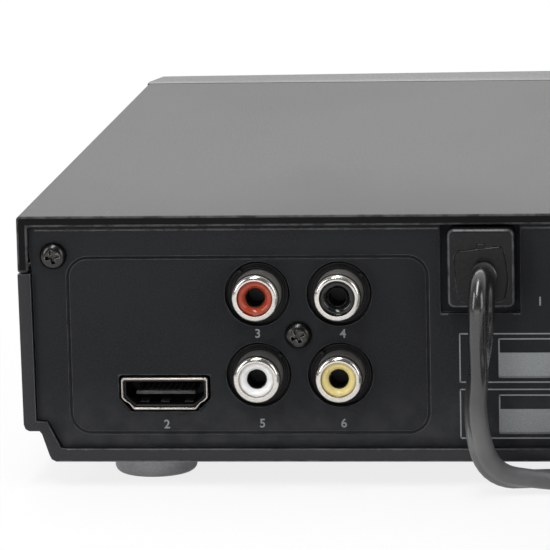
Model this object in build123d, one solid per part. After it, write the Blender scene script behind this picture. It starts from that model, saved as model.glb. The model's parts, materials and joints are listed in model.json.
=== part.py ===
"""Compact disc player with a sliding tray, built as separate named pieces.

Millimetres. X runs to the right seen from the front, Y to the rear, Z up.
The origin is the middle of the body's footprint, on the surface it stands on.
"""

from build123d import *
import math
import os

# Cabinet
width = 225.0
depth = 202.0
body_height = 43.1
foot_height = 4.5
foot_diameter = 14.5
jack_proud = 4.0
rear_y = depth / 2 - jack_proud
front_y = -depth / 2
base_z = foot_height
top_z = base_z + body_height
half_width = width / 2

# Sheet steel cover
sheet = 0.8
cover_lip = 1.9
cover_side = 9.8
seam_gap = 0.3
seam_z = top_z - cover_side - seam_gap

# Plastic tub
floor_thick = 2.3
wall = 2.2
skirt_in = 5.8
ledge_z = 5.4
ledge_in = 3.0
slit_pitch = 7.0

# Rear panel
panel_thick = 2.0
panel_recess = 0.9
fit_gap = 0.15
panel_face_y = rear_y - panel_recess
panel_back_y = panel_face_y - panel_thick
groove_width = 0.55
groove_depth = 0.5

# Front panel
front_length = 17.0
front_wall = 2.2
front_bow = 3.4
front_back_y = front_y + front_length
corner_run = 10.5

# Disc, tray and its way out
disc_diameter = 120.0
recess_clear = 0.6
rim_width = 3.9
tray_half = disc_diameter / 2 + recess_clear + rim_width
rail_out = 2.0
tray_travel = 122.0
spindle_x = -half_width + 77.5
spindle_y = front_back_y + 52.0
lens_inner = 23.0
sled_travel = 36.0
tray_front_y = front_y + 6.0
tray_rear_y = front_back_y + 142.0
disc_rest_z = base_z + 32.3
recess_deep = 2.4
tray_top_z = disc_rest_z + recess_deep
tray_skin = 1.5
small_recess = 1.5
slot_half = 17.0
slot_rear_y = spindle_y + lens_inner + sled_travel + 10.0
hub_hole_radius = 18.0
door_half = tray_half + 3.5
door_height = 13.0
door_low_z = disc_rest_z - 7.4
door_gap = 0.5

# Loader chassis
loader_half = tray_half + 6.5
loader_wall = 2.0
loader_front_y = front_back_y
loader_rear_y = tray_rear_y + 2.0
deck_low_z = base_z + floor_thick + 2.2
deck_thick = 2.0
deck_top_z = deck_low_z + deck_thick
loader_top_z = tray_top_z + 2.8
bridge_thick = 2.0
window_left = -42.0
window_right = 46.0

# Tray drive train, gear modules and teeth
rack_module = 1.0
pinion_teeth = 20
wheel_module = 0.8
wheel_teeth = 36
first_teeth = 14
pulley_radius = 11.0
motor_pulley_radius = 3.0
motor_shaft = 0.95
groove_deep = 1.3
belt_room = 0.35
belt_section = 1.2
backlash = 0.24
axle_radius = 1.5
running = 0.05
rack_pitch_x = spindle_x + tray_half - 6.5
drive_x = rack_pitch_x - rack_module * pinion_teeth / 2
drive_y = front_back_y + 16.5
pulley_y = drive_y - 3.0
wheel_z = deck_top_z + 5.6
wheel_face = 3.0
pulley_z = deck_top_z + 12.0
pulley_face = 4.0
groove_low = pulley_z + 1.0
groove_high = pulley_z + 3.0
pinion_low_z = deck_top_z + 17.9

# Traverse that lifts the turntable, drawn level and then lowered to rest
pivot_y = spindle_y + lens_inner + sled_travel + 19.0
lower_deg = 5.4
play_z = disc_rest_z + 1.7
hub_top_z = play_z + 2.0
plate_thick = 2.0
plate_top_z = play_z - 9.5
plate_low_z = plate_top_z - plate_thick
pivot_z = plate_low_z + 1.0
turntable_radius = 14.0
lens_gap = 1.2
rod_offset = 24.0
rod_radius = 1.5
rod_z = plate_top_z + 1.8
screw_x = spindle_x + 33.5
feed_radius = 6.0
screw_z = plate_low_z - 2.5
plate_front_y = spindle_y - 20.0
plate_rear_y = pivot_y + 4.0
rod_front_y = spindle_y + 5.5
rod_rear_y = pivot_y + 2.0
lug_rear_y = pivot_y - 3.0
feed_front_y = spindle_y + 3.0
feed_rear_y = spindle_y + 16.8
cam_travel = 14.0
cam_y = spindle_y - 24.5
cam_thick = 2.0
cam_pin_z = plate_low_z - 2.0
cam_pin_y = cam_y - 0.7

# Circuit boards
board_thick = 1.6
board_top_z = base_z + 8.9
main_left = half_width - 70.5
main_right = half_width - 6.5
main_front_y = rear_y - 89.0
board_rear_gap = 0.6
power_right = half_width - 74.5
power_left = power_right - 102.0
power_front_y = rear_y - 34.0

# Sockets on the rear, places measured from the +X side and from the base
jack_first = 41.35
jack_pitch_x = 14.1
jack_pitch_z = 14.15
jack_low = 15.1
jack_hole_radius = 5.65
jack_shell_radius = 4.15
jack_core_radius = 3.3
jack_bore_radius = 1.7
jack_bore_length = 9.0
video_left = 17.4
video_right = 32.5
video_low = 9.1
video_high = 14.7
video_wall = 0.35
video_depth = 11.0

# Mains entry and cord
entry_left = 72.8
entry_right = 86.5
entry_low_z = top_z - 17.3
entry_pocket = 1.3
relief_left = 74.2
relief_right = 85.6
relief_low_z = top_z - 15.9
relief_top_z = top_z - 2.0
relief_proud = 2.9
cord_width = 5.2
cord_radius = 2.1
coil_turn_radius = 29.0
coil_columns = 3
coil_height = 12.5
coil_x = -22.0
coil_y = 142.0

# Controls on the front
button_travel = 0.45
button_reach = button_travel + 0.05
button_proud = 0.6
button_gap = 0.3
switch_high = 3.4

parts = {}


def block(x0, x1, y0, y1, z0, z1):
    """Box between two corners."""
    centre = Pos((x0 + x1) / 2, (y0 + y1) / 2, (z0 + z1) / 2)
    return centre * Box(abs(x1 - x0), abs(y1 - y0), abs(z1 - z0))


def post(x, y, z0, z1, radius):
    """Upright cylinder."""
    return Pos(x, y, (z0 + z1) / 2) * Cylinder(radius, abs(z1 - z0))


def bar_y(x, z, y0, y1, radius):
    """Cylinder along Y."""
    return Pos(x, (y0 + y1) / 2, z) * Rot(90, 0, 0) * Cylinder(radius, abs(y1 - y0))


def bar_x(y, z, x0, x1, radius):
    """Cylinder along X."""
    return Pos((x0 + x1) / 2, y, z) * Rot(0, 90, 0) * Cylinder(radius, abs(x1 - x0))


def prism_y(points, y0, y1):
    """Outline in X and Z, carried from y0 to y1."""
    face = make_face(Polyline(*[(x, y0, z) for x, z in points], close=True))
    return Solid.extrude(face.face(), Vector(0, y1 - y0, 0))


def prism_z(points, z0, z1):
    """Outline in X and Y, carried from z0 to z1."""
    face = make_face(Polyline(*[(x, y, z0) for x, y in points], close=True))
    return Solid.extrude(face.face(), Vector(0, 0, z1 - z0))


def slab_y(x0, x1, z0, z1, y0, y1, radius):
    """Plate with rounded corners, its thickness along Y."""
    thick = abs(y1 - y0)
    face = Plane.XZ * RectangleRounded(abs(x1 - x0), abs(z1 - z0), radius)
    plate = extrude(face, thick / 2, both=True)
    return Pos((x0 + x1) / 2, (y0 + y1) / 2, (z0 + z1) / 2) * plate


def slab_z(x0, x1, y0, y1, z0, z1, radius):
    """Plate with rounded corners, its thickness along Z."""
    face = RectangleRounded(abs(x1 - x0), abs(y1 - y0), radius)
    plate = extrude(face, abs(z1 - z0) / 2, both=True)
    return Pos((x0 + x1) / 2, (y0 + y1) / 2, (z0 + z1) / 2) * plate


def side(distance):
    """X of a place measured inwards from the +X side, as seen from behind."""
    return half_width - distance


def mirrored(half):
    """Outline of a left and right half, from points given inwards and upwards."""
    right = [(half_width - inward, base_z + up) for inward, up in half]
    left = [(-x, z) for x, z in reversed(right)]
    return right + left


def group(*pieces):
    """Separate solids that share one node."""
    solids = []
    for piece in pieces:
        solids.extend(piece.solids())
    return Compound(children=solids) if len(solids) > 1 else solids[0]


def add(name, *pieces):
    parts[name] = group(*pieces)


def gear(teeth, module, z0, z1, bore, turn=0.0, slack=backlash):
    """Spur gear with involute flanks about the Z axis, a tooth on +X at turn 0."""
    pitch = module * teeth / 2
    base = pitch * math.cos(math.radians(20))
    tip = pitch + module * 0.95
    root = pitch - module * 1.2
    half_tooth = (math.pi * module / 2 - slack) / 2 / pitch
    lead = math.tan(math.radians(20)) - math.radians(20)
    low = max(base, root)

    def flank(radius):
        press = math.acos(min(1.0, base / radius))
        return half_tooth + lead - (math.tan(press) - press)

    radii = [low + (tip - low) * k / 3 for k in range(4)]
    points = []
    for tooth in range(teeth):
        middle = 2 * math.pi * tooth / teeth + math.radians(turn)
        edge = [(root, flank(low) + 0.01)] + [(r, flank(r)) for r in radii]
        for r, a in edge:
            points.append((r * math.cos(middle - a), r * math.sin(middle - a)))
        for r, a in reversed(edge):
            points.append((r * math.cos(middle + a), r * math.sin(middle + a)))
    wheel = prism_z(points, z0, z1)
    if bore:
        wheel = wheel - post(0, 0, z0 - 1, z1 + 1, bore)
    return wheel


def plan_front(inset):
    """Plan outline of the front panel, bowed forwards, inset by a wall."""
    wide = half_width - inset
    nose = front_y + inset
    corner = front_y + front_bow + inset
    back = front_back_y
    cut = corner_run - inset / 3
    return [(wide, back), (wide, corner + cut), (wide - 1.9, corner + 1.4), (wide - 7.0, corner),
            (0, nose), (-(wide - 7.0), corner), (-(wide - 1.9), corner + 1.4),
            (-wide, corner + cut), (-wide, back)]


def bowed(inset, z0, z1, back):
    """Solid of the front panel's plan shape between two heights."""
    p = plan_front(inset)
    line = Polyline(p[3], p[2], p[1], (p[0][0], back), (p[8][0], back), p[7], p[6], p[5])
    bow = ThreePointArc(p[5], p[4], p[3])
    face = make_face([line, bow])
    return Pos(0, 0, z0) * extrude(face, z1 - z0, dir=(0, 0, 1))


def front_face_y(x):
    """Y of the bowed face at x."""
    reach = half_width - 7.0
    return front_y + front_bow * (x / reach) ** 2


# Cabinet pieces

seam_up = seam_z - base_z
outer_half = [(0.0, seam_up), (0.25, 6.6), (0.55, 5.75), (1.2, ledge_z), (ledge_in, ledge_z),
              (3.4, 4.9), (4.6, 1.2), (5.0, 0.4), (skirt_in, 0.0)]
inner_half = [(wall, seam_up), (wall + 0.25, 7.1), (wall + 2.15, 7.0), (wall + 4.5, floor_thick)]


def boss_places():
    """Bosses under the main board, the power board and the loader."""
    rear = panel_back_y - 6.0
    main = [(main_left + 5, main_front_y + 5), (main_right - 5, main_front_y + 5), (main_right - 5, rear)]
    front = power_front_y + 5
    power = [(power_left + 5, front), (power_left + 5, rear), (power_right - 5, front)]
    return main + power


def loader_feet():
    """Corners at which the loader is screwed down."""
    across = loader_half - 7.0
    return [(spindle_x + s * across, y) for s in (-1, 1) for y in (loader_front_y + 8, loader_rear_y - 8)]


def foot_places():
    across = half_width - 21.5
    return [(s * across, y) for s in (-1, 1) for y in (rear_y - 14.0, front_back_y + 12.0)]


def bottom_shell():
    tub = prism_y(mirrored(outer_half), front_back_y + fit_gap, rear_y)
    hollow_top = base_z + 60
    inner = mirrored(inner_half)
    inner = [(half_width - wall, hollow_top)] + inner + [(-half_width + wall, hollow_top)]
    tub = tub - prism_y(inner, front_back_y - 1, rear_y + 1)
    floor_z = base_z + floor_thick
    board_low = board_top_z - board_thick
    for x, y in boss_places():
        tub = tub + (post(x, y, floor_z - 0.5, board_low, 3.2) - post(x, y, floor_z, board_low + 1, 1.1))
    for x, y in loader_feet():
        tub = tub + (post(x, y, floor_z - 0.5, deck_low_z, 3.6) - post(x, y, floor_z, deck_low_z + 1, 1.1))
    for x, y in foot_places():
        tub = tub - post(x, y, base_z - 1, base_z + 1.0, 2.6)
    slits = [(power_left + 8 + slit_pitch * k, rear_y - 29, rear_y - 11) for k in range(13)]
    slits += [(main_left + 14 + slit_pitch * k, rear_y - 67, rear_y - 37) for k in range(6)]
    for x, y0, y1 in slits:
        tub = tub - block(x - 1.25, x + 1.25, y0, y1, base_z - 1, floor_z + 1)
    for x in (-60.0, 0.0, 60.0):
        tub = tub + block(x - 5, x + 5, front_back_y + 0.5, front_back_y + 3, floor_z - 0.5, floor_z + 1.9)
        tub = tub + block(x - 5, x + 5, front_back_y - 4, front_back_y + 3, floor_z + 0.6, floor_z + 1.9)
    for s in (-1, 1):
        for y in (rear_y - 30.0, front_back_y + 30.0):
            outer = s * (half_width - wall + 0.2)
            inner = s * (half_width - wall - 3.3)
            tub = tub + block(inner, outer, y - 4, y + 4, seam_z - 8, seam_z - seam_gap)
    return tub


def top_cover():
    low = seam_z + seam_gap
    y0 = front_back_y + seam_gap
    box = block(-half_width, half_width, y0, rear_y, low, top_z)
    edges = box.edges().filter_by(Axis.Y).group_by(Axis.Z)[-1]
    box = fillet(edges, 0.7)
    inner = block(-half_width + sheet, half_width - sheet, y0 - 1, rear_y - sheet, low - 1, top_z - sheet)
    mouth = block(-half_width + cover_lip, half_width - cover_lip, rear_y - 5, rear_y + 1, low - 1,
                  top_z - cover_lip)
    cover = box - inner - mouth
    for s in (-1, 1):
        for y in (rear_y - 30.0, front_back_y + 30.0):
            tab = block(s * (half_width - sheet), s * (half_width - 5.0), y - 3, y + 3, low, low + sheet)
            cover = cover + tab
    return cover


def video_outline(grow, low_grow=0.0):
    """Outline of the digital socket: flat top, lower corners cut at a slant."""
    x0, x1 = side(video_left) + grow, side(video_right) - grow
    z1 = base_z + video_high + grow
    z0 = base_z + video_low - grow - low_grow
    bend = base_z + 11.2 - grow * 0.4
    slant = 2.0 + grow * 0.4
    return [(x0, z1), (x0, bend), (x0 - slant, z0), (x1 + slant + 0.2, z0), (x1, bend), (x1, z1)]


def jack_places():
    """Centres of the four coaxial sockets: upper row then lower row."""
    spots = []
    for row in (1, 0):
        for col in (0, 1):
            x = side(jack_first + jack_pitch_x * col)
            spots.append((x, base_z + jack_low + jack_pitch_z * row))
    return spots


def rear_screw_places():
    top = top_z - 7.0
    return [(side(6.2), top), (side(48.3), base_z + 22.1), (-side(6.2), top)]


def rear_panel():
    clear = fit_gap
    edge = wall + clear
    pts = mirrored([(edge, body_height - 1.5), (edge, seam_up), (edge + 0.25, 7.1 + clear),
                    (edge + 2.2, 7.0 + clear), (edge + 4.6, floor_thick + clear)])
    panel = prism_y(pts, panel_back_y, panel_face_y)
    x0, x1 = side(8.3), side(70.9)
    z0, z1 = base_z + 4.7, top_z - 7.15
    ring = slab_y(x0, x1, z0, z1, panel_face_y - groove_depth, panel_face_y + 1, 3.8)
    ring = ring - slab_y(x0 - groove_width, x1 + groove_width, z0 + groove_width, z1 - groove_width,
                         panel_face_y - 2, panel_face_y + 2, 3.8 - groove_width)
    panel = panel - ring
    for x, z in jack_places():
        panel = panel - bar_y(x, z, panel_back_y - 1, panel_face_y + 1, jack_hole_radius)
    panel = panel - prism_y(video_outline(0.45), panel_back_y - 1, panel_face_y + 1)
    for x, z in rear_screw_places():
        panel = panel - bar_y(x, z, panel_back_y - 1, panel_face_y + 1, 1.25)
    top = base_z + 50
    pocket = block(side(entry_left), side(entry_right), panel_face_y - entry_pocket, panel_face_y + 1,
                   entry_low_z, top)
    through = block(side(relief_left + 1.2), side(relief_right - 1.2), panel_back_y - 1, panel_face_y + 1,
                    relief_low_z + 1.2, top)
    return panel - pocket - through


def pan_head(x, z, face, radius, high, long):
    """Pan-head screw along Y with a cross recess, its head outside the face."""
    head = bar_y(x, z, face, face + high, radius)
    rim = head.edges().filter_by(GeomType.CIRCLE).group_by(Axis.Y)[-1]
    head = fillet(rim, high * 0.6)
    shank = bar_y(x, z, face - long, face, 1.2)
    arm = radius * 0.62
    deep = high * 0.75
    cross = block(x - arm, x + arm, face + high - deep, face + high + 1, z - 0.42, z + 0.42)
    cross = cross + block(x - 0.42, x + 0.42, face + high - deep, face + high + 1, z - arm, z + arm)
    return (head + shank) - Pos(x, 0, z) * Rot(0, 24, 0) * Pos(-x, 0, -z) * cross


def rear_screws():
    return [pan_head(x, z, panel_face_y, 2.35, 1.6, 6.0) for x, z in rear_screw_places()]


def foot(x, y):
    pad = post(x, y, 0, base_z, foot_diameter / 2)
    pad = fillet(pad.edges().group_by(Axis.Z)[0], 1.3)
    return pad + post(x, y, base_z - 0.5, base_z + 0.9, 2.4)


# Front panel, its windows and controls

button_specs = [
    ("power_button", half_width - 15.5, base_z + 32.5, 12.0, 7.0),
    ("open_button", half_width - 66.0, base_z + 12.5, 11.0, 5.0),
    ("play_button", half_width - 52.0, base_z + 12.5, 11.0, 5.0),
    ("stop_button", half_width - 38.0, base_z + 12.5, 11.0, 5.0),
]
window_box = (half_width - 70.5, half_width - 28.5, base_z + 26.0, base_z + 38.0)
usb_x, usb_z = half_width - 17.5, base_z + 12.5
usb_wide, usb_high = 13.2, 5.8
eye_x, eye_z, eye_radius = half_width - 27.5, base_z + 18.5, 2.2
front_board_y = front_back_y - 0.6


def front_panel():
    low = base_z + 0.4
    body = bowed(0.0, low, top_z, front_back_y)
    inner = bowed(front_wall, low + front_wall, top_z - front_wall, front_back_y + 5)
    body = body - inner
    rims = [e for e in body.edges() if abs(e.center().Z - top_z) < 0.01 and abs(e.center().Y - front_y) < 9]
    body = fillet([e for e in rims if abs(e.tangent_at(0.5).Z) < 0.1 and e.length > 20], 1.0)
    gap = door_gap
    door = block(spindle_x - door_half - gap, spindle_x + door_half + gap, front_y - 2, front_back_y + 1,
                 door_low_z - gap, door_low_z + door_height + gap)
    body = body - door
    x0, x1, z0, z1 = window_box
    body = body - block(x0 + 1.2, x1 - 1.2, front_y - 2, front_back_y + 1, z0 + 1.2, z1 - 1.2)
    seat_y = front_face_y(x1) + 1.1
    body = body - block(x0, x1, front_y - 2, seat_y, z0, z1)
    for name, x, z, wide, high in button_specs:
        body = body - slab_y(x - wide / 2 - button_gap, x + wide / 2 + button_gap, z - high / 2 - button_gap,
                             z + high / 2 + button_gap, front_y - 2, front_back_y + 1, 1.0 + button_gap)
    body = body - block(usb_x - usb_wide / 2 - 0.4, usb_x + usb_wide / 2 + 0.4, front_y - 2, front_back_y + 1,
                        usb_z - usb_high / 2 - 0.4, usb_z + usb_high / 2 + 0.4)
    body = body - bar_y(eye_x, eye_z, front_y - 2, front_back_y + 1, eye_radius + 0.1)
    for x in (half_width - 72.5, half_width - 5.5):
        for z in (base_z + 6.7, base_z + 21.0):
            body = body + bar_y(x, z, front_face_y(x) + 1.5, front_board_y - board_thick, 2.0)
    return body


def display_window():
    x0, x1, z0, z1 = window_box
    c = fit_gap
    seat_y = front_face_y(x1) + 1.1
    curve = bowed(0.15, z0, z1, front_back_y)
    return block(x0 + c, x1 - c, front_y - 2, seat_y, z0 + c, z1 - c) & curve


def button(x, z, wide, high):
    face = front_face_y(x) - button_proud
    stem_end = front_board_y - board_thick - switch_high - button_reach
    cap = slab_y(x - wide / 2, x + wide / 2, z - high / 2, z + high / 2, face, face + 5.0, 1.0)
    rim = cap.edges().group_by(Axis.Y)[0]
    cap = fillet(rim, 0.5)
    stem = block(x - 1.6, x + 1.6, face + 4.5, stem_end, z - 1.6, z + 1.6)
    inside = front_face_y(x + wide / 2 + 1) + front_wall + button_gap
    flange = block(x - wide / 2 - 1, x + wide / 2 + 1, inside, inside + 1, z - high / 2 - 1, z + high / 2 + 1)
    return cap + stem + flange


def tact_switch(x, z):
    back = front_board_y - board_thick
    body = block(x - 3, x + 3, back - 2.4, back, z - 3, z + 3)
    return body + bar_y(x, z, back - switch_high, back - 2.3, 1.6)


def usb_socket():
    face = front_face_y(usb_x) + 0.4
    outer = block(usb_x - usb_wide / 2, usb_x + usb_wide / 2, face, front_board_y - 1.6, usb_z - usb_high / 2,
                  usb_z + usb_high / 2)
    hollow = block(usb_x - usb_wide / 2 + 0.4, usb_x + usb_wide / 2 - 0.4, face - 1, face + 10.0,
                   usb_z - usb_high / 2 + 0.4, usb_z + usb_high / 2 - 0.4)
    tongue = block(usb_x - 5.4, usb_x + 5.4, face + 1.0, face + 10.5, usb_z + 0.3, usb_z + 2.2)
    return (outer - hollow) + tongue


# Tray with its rack and door

def disc_tray():
    x0, x1 = spindle_x - tray_half, spindle_x + tray_half
    low = disc_rest_z - tray_skin
    recess = disc_diameter / 2 + recess_clear
    plate = slab_z(x0, x1, tray_front_y, tray_rear_y, low, tray_top_z, 3.0)
    plate = plate + post(spindle_x, spindle_y, low - small_recess, low + 0.5, 42.5)
    plate = plate - post(spindle_x, spindle_y, disc_rest_z, tray_top_z + 1, recess)
    plate = plate - post(spindle_x, spindle_y, disc_rest_z - small_recess, tray_top_z, 40.6)
    plate = plate - post(spindle_x, spindle_y, low - 5, tray_top_z + 1, hub_hole_radius)
    plate = plate - slab_z(spindle_x - slot_half, spindle_x + slot_half, spindle_y - 10, slot_rear_y,
                           low - 5, tray_top_z + 1, 6.0)
    for s in (-1, 1):
        scoop = post(spindle_x + s * 50, spindle_y + 48, disc_rest_z, tray_top_z + 1, 12.0)
        plate = plate - scoop
        inner = spindle_x + s * (tray_half - 0.5)
        plate = plate + block(inner, spindle_x + s * (tray_half + rail_out), tray_front_y + 6, tray_rear_y,
                              low + 0.2, low + 2.2)
    rack_low = low - 4.9
    back_x = spindle_x + tray_half - 0.8
    pitch = math.pi * rack_module
    start = drive_y - pitch * 2
    rack_teeth = round(tray_travel / pitch) + 2
    slope = math.tan(math.radians(20))
    half = (pitch / 2 - backlash) / 2
    tip_x = rack_pitch_x - rack_module * 0.95
    root_x = rack_pitch_x + rack_module * 1.2
    outline = [(back_x, start - pitch / 2), (root_x, start - pitch / 2)]
    for k in range(rack_teeth):
        y = start + pitch * (k + 0.5)
        low_half = half + rack_module * 1.2 * slope
        high_half = half - rack_module * 0.95 * slope
        outline += [(root_x, y - low_half), (tip_x, y - high_half)]
        outline += [(tip_x, y + high_half), (root_x, y + low_half)]
    end = start + pitch * (rack_teeth + 0.5)
    outline += [(root_x, end), (back_x, end)]
    return plate + prism_z(outline, rack_low, low + 0.3)


def tray_door():
    x0, x1 = spindle_x - door_half, spindle_x + door_half
    z0, z1 = door_low_z, door_low_z + door_height
    face = block(x0, x1, front_y - 2, tray_front_y - 0.02, z0, z1) & bowed(0.0, z0, z1, front_back_y)
    hollow = block(x0 + 2, x1 - 2, front_y + 3.6, tray_front_y + 1, z0 + 2, z1 - 2)
    rib = block(spindle_x - 50, spindle_x + 50, front_y + 3, tray_front_y - 0.02, disc_rest_z - 1.2,
                tray_top_z - 0.6)
    return (face - hollow) + rib


# Loader chassis, bridge and clamper

def loader_frame():
    x0, x1 = spindle_x - loader_half, spindle_x + loader_half
    y0, y1 = loader_front_y, loader_rear_y
    middle = (y0 + y1) / 2
    rail_low = disc_rest_z - tray_skin + 0.2
    frame = block(x0, x1, y0, y1, deck_low_z, deck_top_z)
    frame = frame - block(spindle_x + window_left, spindle_x + window_right, plate_front_y - 0.5, pivot_y + 8,
                          deck_low_z - 1, deck_top_z + 1)
    for s in (-1, 1):
        outer = spindle_x + s * loader_half
        inner = spindle_x + s * (loader_half - loader_wall)
        lip = spindle_x + s * (tray_half + 0.4)
        frame = frame + block(outer, inner, y0, y1, deck_low_z, loader_top_z)
        frame = frame + block(inner, lip, y0, y1 - 2, rail_low - 2.3, rail_low - 0.3)
        for y in (y0 + 6, middle - 5, y1 - 14):
            frame = frame + block(inner, lip, y, y + 10, rail_low + 2.3, rail_low + 3.9)
        side_arm = spindle_x + (window_left if s < 0 else window_right)
        ear = block(side_arm - s * 2.5, side_arm + s * 1.5, pivot_y - 5, pivot_y + 9, deck_low_z, pivot_z + 4)
        bore = bar_x(pivot_y, pivot_z, side_arm - s * 4, side_arm + s * 3, 2.0 + running)
        frame = frame + (ear - bore)
    frame = frame + block(x0, x1, y1 - 1.8, y1, deck_low_z, disc_rest_z - tray_skin - 2.2)
    for y in (cam_y - cam_thick / 2 - 1.5, cam_y + cam_thick / 2 + 0.3):
        frame = frame + block(spindle_x - 46, spindle_x + 28, y, y + 1.2, deck_top_z - 0.5, deck_top_z + 2.2)
    frame = frame + block(x0, spindle_x + 20, y0, y0 + 1.8, deck_top_z - 0.5, deck_top_z + 15.0)
    frame = frame + post(drive_x, drive_y, deck_top_z - 0.5, pinion_top_z - 1.0, axle_radius)
    frame = frame + post(pulley_x, pulley_y, deck_top_z - 0.5, pulley_z + 6.0, axle_radius)
    for x, y, r in ((drive_x, drive_y, 4.0), (pulley_x, pulley_y, 3.5)):
        frame = frame + post(x, y, deck_top_z - 0.5, wheel_z - 0.4, r)
    for x, y in loader_feet():
        frame = frame - post(x, y, deck_low_z - 1, deck_top_z + 1, 1.6)
    return frame


pulley_gap = wheel_module * (wheel_teeth + first_teeth) / 2
pulley_x = drive_x - math.sqrt(pulley_gap ** 2 - (drive_y - pulley_y) ** 2)
motor_x = spindle_x - 12.0
motor_y = pulley_y


def loader_screws():
    out = []
    for x, y in loader_feet():
        head = post(x, y, deck_top_z, deck_top_z + 1.8, 3.0)
        slit = block(x - 2, x + 2, y - 0.45, y + 0.45, deck_top_z + 0.8, deck_top_z + 3)
        cross = block(x - 0.45, x + 0.45, y - 2, y + 2, deck_top_z + 0.8, deck_top_z + 3)
        out.append((head + post(x, y, base_z + floor_thick + 0.4, deck_top_z + 0.2, 1.1)) - slit - cross)
    return out


def clamp_bridge():
    x0, x1 = spindle_x - loader_half, spindle_x + loader_half
    plate = block(x0, x1, spindle_y - 19, spindle_y + 19, loader_top_z, loader_top_z + bridge_thick)
    rim = post(spindle_x, spindle_y, loader_top_z, loader_top_z + bridge_thick + 0.4, 16.0)
    hole = post(spindle_x, spindle_y, loader_top_z - 1, loader_top_z + 5, 12.5)
    bridge = (plate + rim) - hole
    for y in (spindle_y - 19, spindle_y + 17.4):
        bridge = bridge + block(x0 + 6, x1 - 6, y, y + 1.6, loader_top_z, loader_top_z + 4.0)
    return bridge


def clamper():
    low = tray_top_z + 0.9
    seat = loader_top_z + bridge_thick + 0.4 + 0.05
    body = post(spindle_x, spindle_y, low, seat, 12.0) + post(spindle_x, spindle_y, seat, seat + 1.2, 15.0)
    dish = post(spindle_x, spindle_y, low - 1, low + 1.6, 8.6)
    top_dish = post(spindle_x, spindle_y, seat + 0.6, seat + 3, 9.0)
    return body - dish - top_dish


# Tray drive

pinion_top_z = disc_rest_z - tray_skin - small_recess - 0.4

def drive_gear():
    wheel = gear(wheel_teeth, wheel_module, wheel_z, wheel_z + wheel_face, 0, turn=mesh_turn)
    hub = post(0, 0, wheel_z + wheel_face - 0.1, pinion_low_z + 0.1, 6.0)
    pinion = gear(pinion_teeth, rack_module, pinion_low_z, pinion_top_z, 0)
    whole = wheel + hub + pinion
    bore = post(0, 0, wheel_z - 1, pinion_top_z + 1, axle_radius + running)
    return Pos(drive_x, drive_y, 0) * (whole - bore)


# The pinion's tooth faces a gap of the rack, and the wheel's tooth faces the first gear's gap.
line_deg = math.degrees(math.atan2(pulley_y - drive_y, pulley_x - drive_x))
mesh_turn = line_deg
first_turn = line_deg + 180.0 + 180.0 / first_teeth


def pulley_gear():
    first = gear(first_teeth, wheel_module, wheel_z - 0.1, pulley_z + 0.2, 0, turn=first_turn)
    disc = post(0, 0, pulley_z, pulley_z + pulley_face, pulley_radius)
    core = post(0, 0, groove_low - 0.1, groove_high + 0.1, pulley_radius - groove_deep)
    groove = post(0, 0, groove_low, groove_high, pulley_radius + 1) - core
    whole = first + (disc - groove)
    bore = post(0, 0, wheel_z - 1, pulley_z + pulley_face + 1, axle_radius + running)
    return Pos(pulley_x, pulley_y, 0) * (whole - bore)


def motor_pulley():
    disc = post(0, 0, pulley_z + 0.2, pulley_z + pulley_face - 0.2, motor_pulley_radius + 1.2)
    core = post(0, 0, groove_low - 0.1, groove_high + 0.1, motor_pulley_radius)
    groove = post(0, 0, groove_low, groove_high, motor_pulley_radius + 3) - core
    shaft = post(0, 0, pulley_z - 4.6, pulley_z + 0.4, motor_shaft)
    return Pos(motor_x, motor_y, 0) * ((disc - groove) + shaft)


def belt():
    big = pulley_radius - groove_deep + belt_room
    small = motor_pulley_radius + belt_room
    gap = pulley_x - motor_x
    lean = math.asin((big - small) / gap)

    def loop(extra):
        a, b = small + extra, big + extra
        top_small = (-math.sin(lean) * a, math.cos(lean) * a)
        top_big = (gap - math.sin(lean) * b, math.cos(lean) * b)
        edges = [
            Line(top_small, top_big),
            ThreePointArc(top_big, (gap + b, 0), (top_big[0], -top_big[1])),
            Line((top_big[0], -top_big[1]), (top_small[0], -top_small[1])),
            ThreePointArc((top_small[0], -top_small[1]), (-a, 0), top_small),
        ]
        return make_face(edges)

    up = (0, 0, 1)
    ring = extrude(loop(belt_section), belt_section, dir=up) - extrude(loop(0), belt_section, dir=up)
    return Pos(motor_x, motor_y, (groove_low + groove_high - belt_section) / 2) * ring


def loading_motor():
    can = post(motor_x, motor_y, deck_top_z, pulley_z - 0.4, 10.0)
    can = fillet(can.edges().group_by(Axis.Z)[-1], 1.0)
    return can - post(motor_x, motor_y, pulley_z - 5.0, pulley_z + 1, motor_shaft + running)


def cam_slider():
    y0, y1 = cam_y - cam_thick / 2, cam_y + cam_thick / 2
    plate = block(spindle_x - 26, spindle_x + 24, y0, y1, deck_top_z + 0.3, plate_top_z)
    low_pin = lowered_point(cam_pin_y, cam_pin_z)
    radius = 1.5 + 0.35
    across = cam_travel
    rise = cam_pin_z - low_pin[1]
    slot = []
    for s in (0.0, 1.0):
        slot.append(bar_y(spindle_x + s * across, low_pin[1] + rise * s, y0 - 1, y1 + 1, radius))
    long = math.hypot(across, rise)
    turn = math.degrees(math.atan2(rise, across))
    bridge = Pos(spindle_x + across / 2, cam_y, low_pin[1] + rise / 2) * Rot(0, -turn, 0) * Box(
        long, cam_thick + 2, radius * 2)
    return plate - slot[0] - slot[1] - bridge


def lowered_point(y, z):
    """Where a point of the level traverse lies once its front is let down."""
    a = math.radians(lower_deg)
    dy, dz = y - pivot_y, z - pivot_z
    return (pivot_y + dy * math.cos(a) - dz * math.sin(a), pivot_z + dy * math.sin(a) + dz * math.cos(a))


def lowered(shape):
    """Turn a piece of the level traverse about its pivots to its lowered rest."""
    return Pos(0, pivot_y, pivot_z) * Rot(lower_deg, 0, 0) * Pos(0, -pivot_y, -pivot_z) * shape


# Traverse, drawn level

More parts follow.
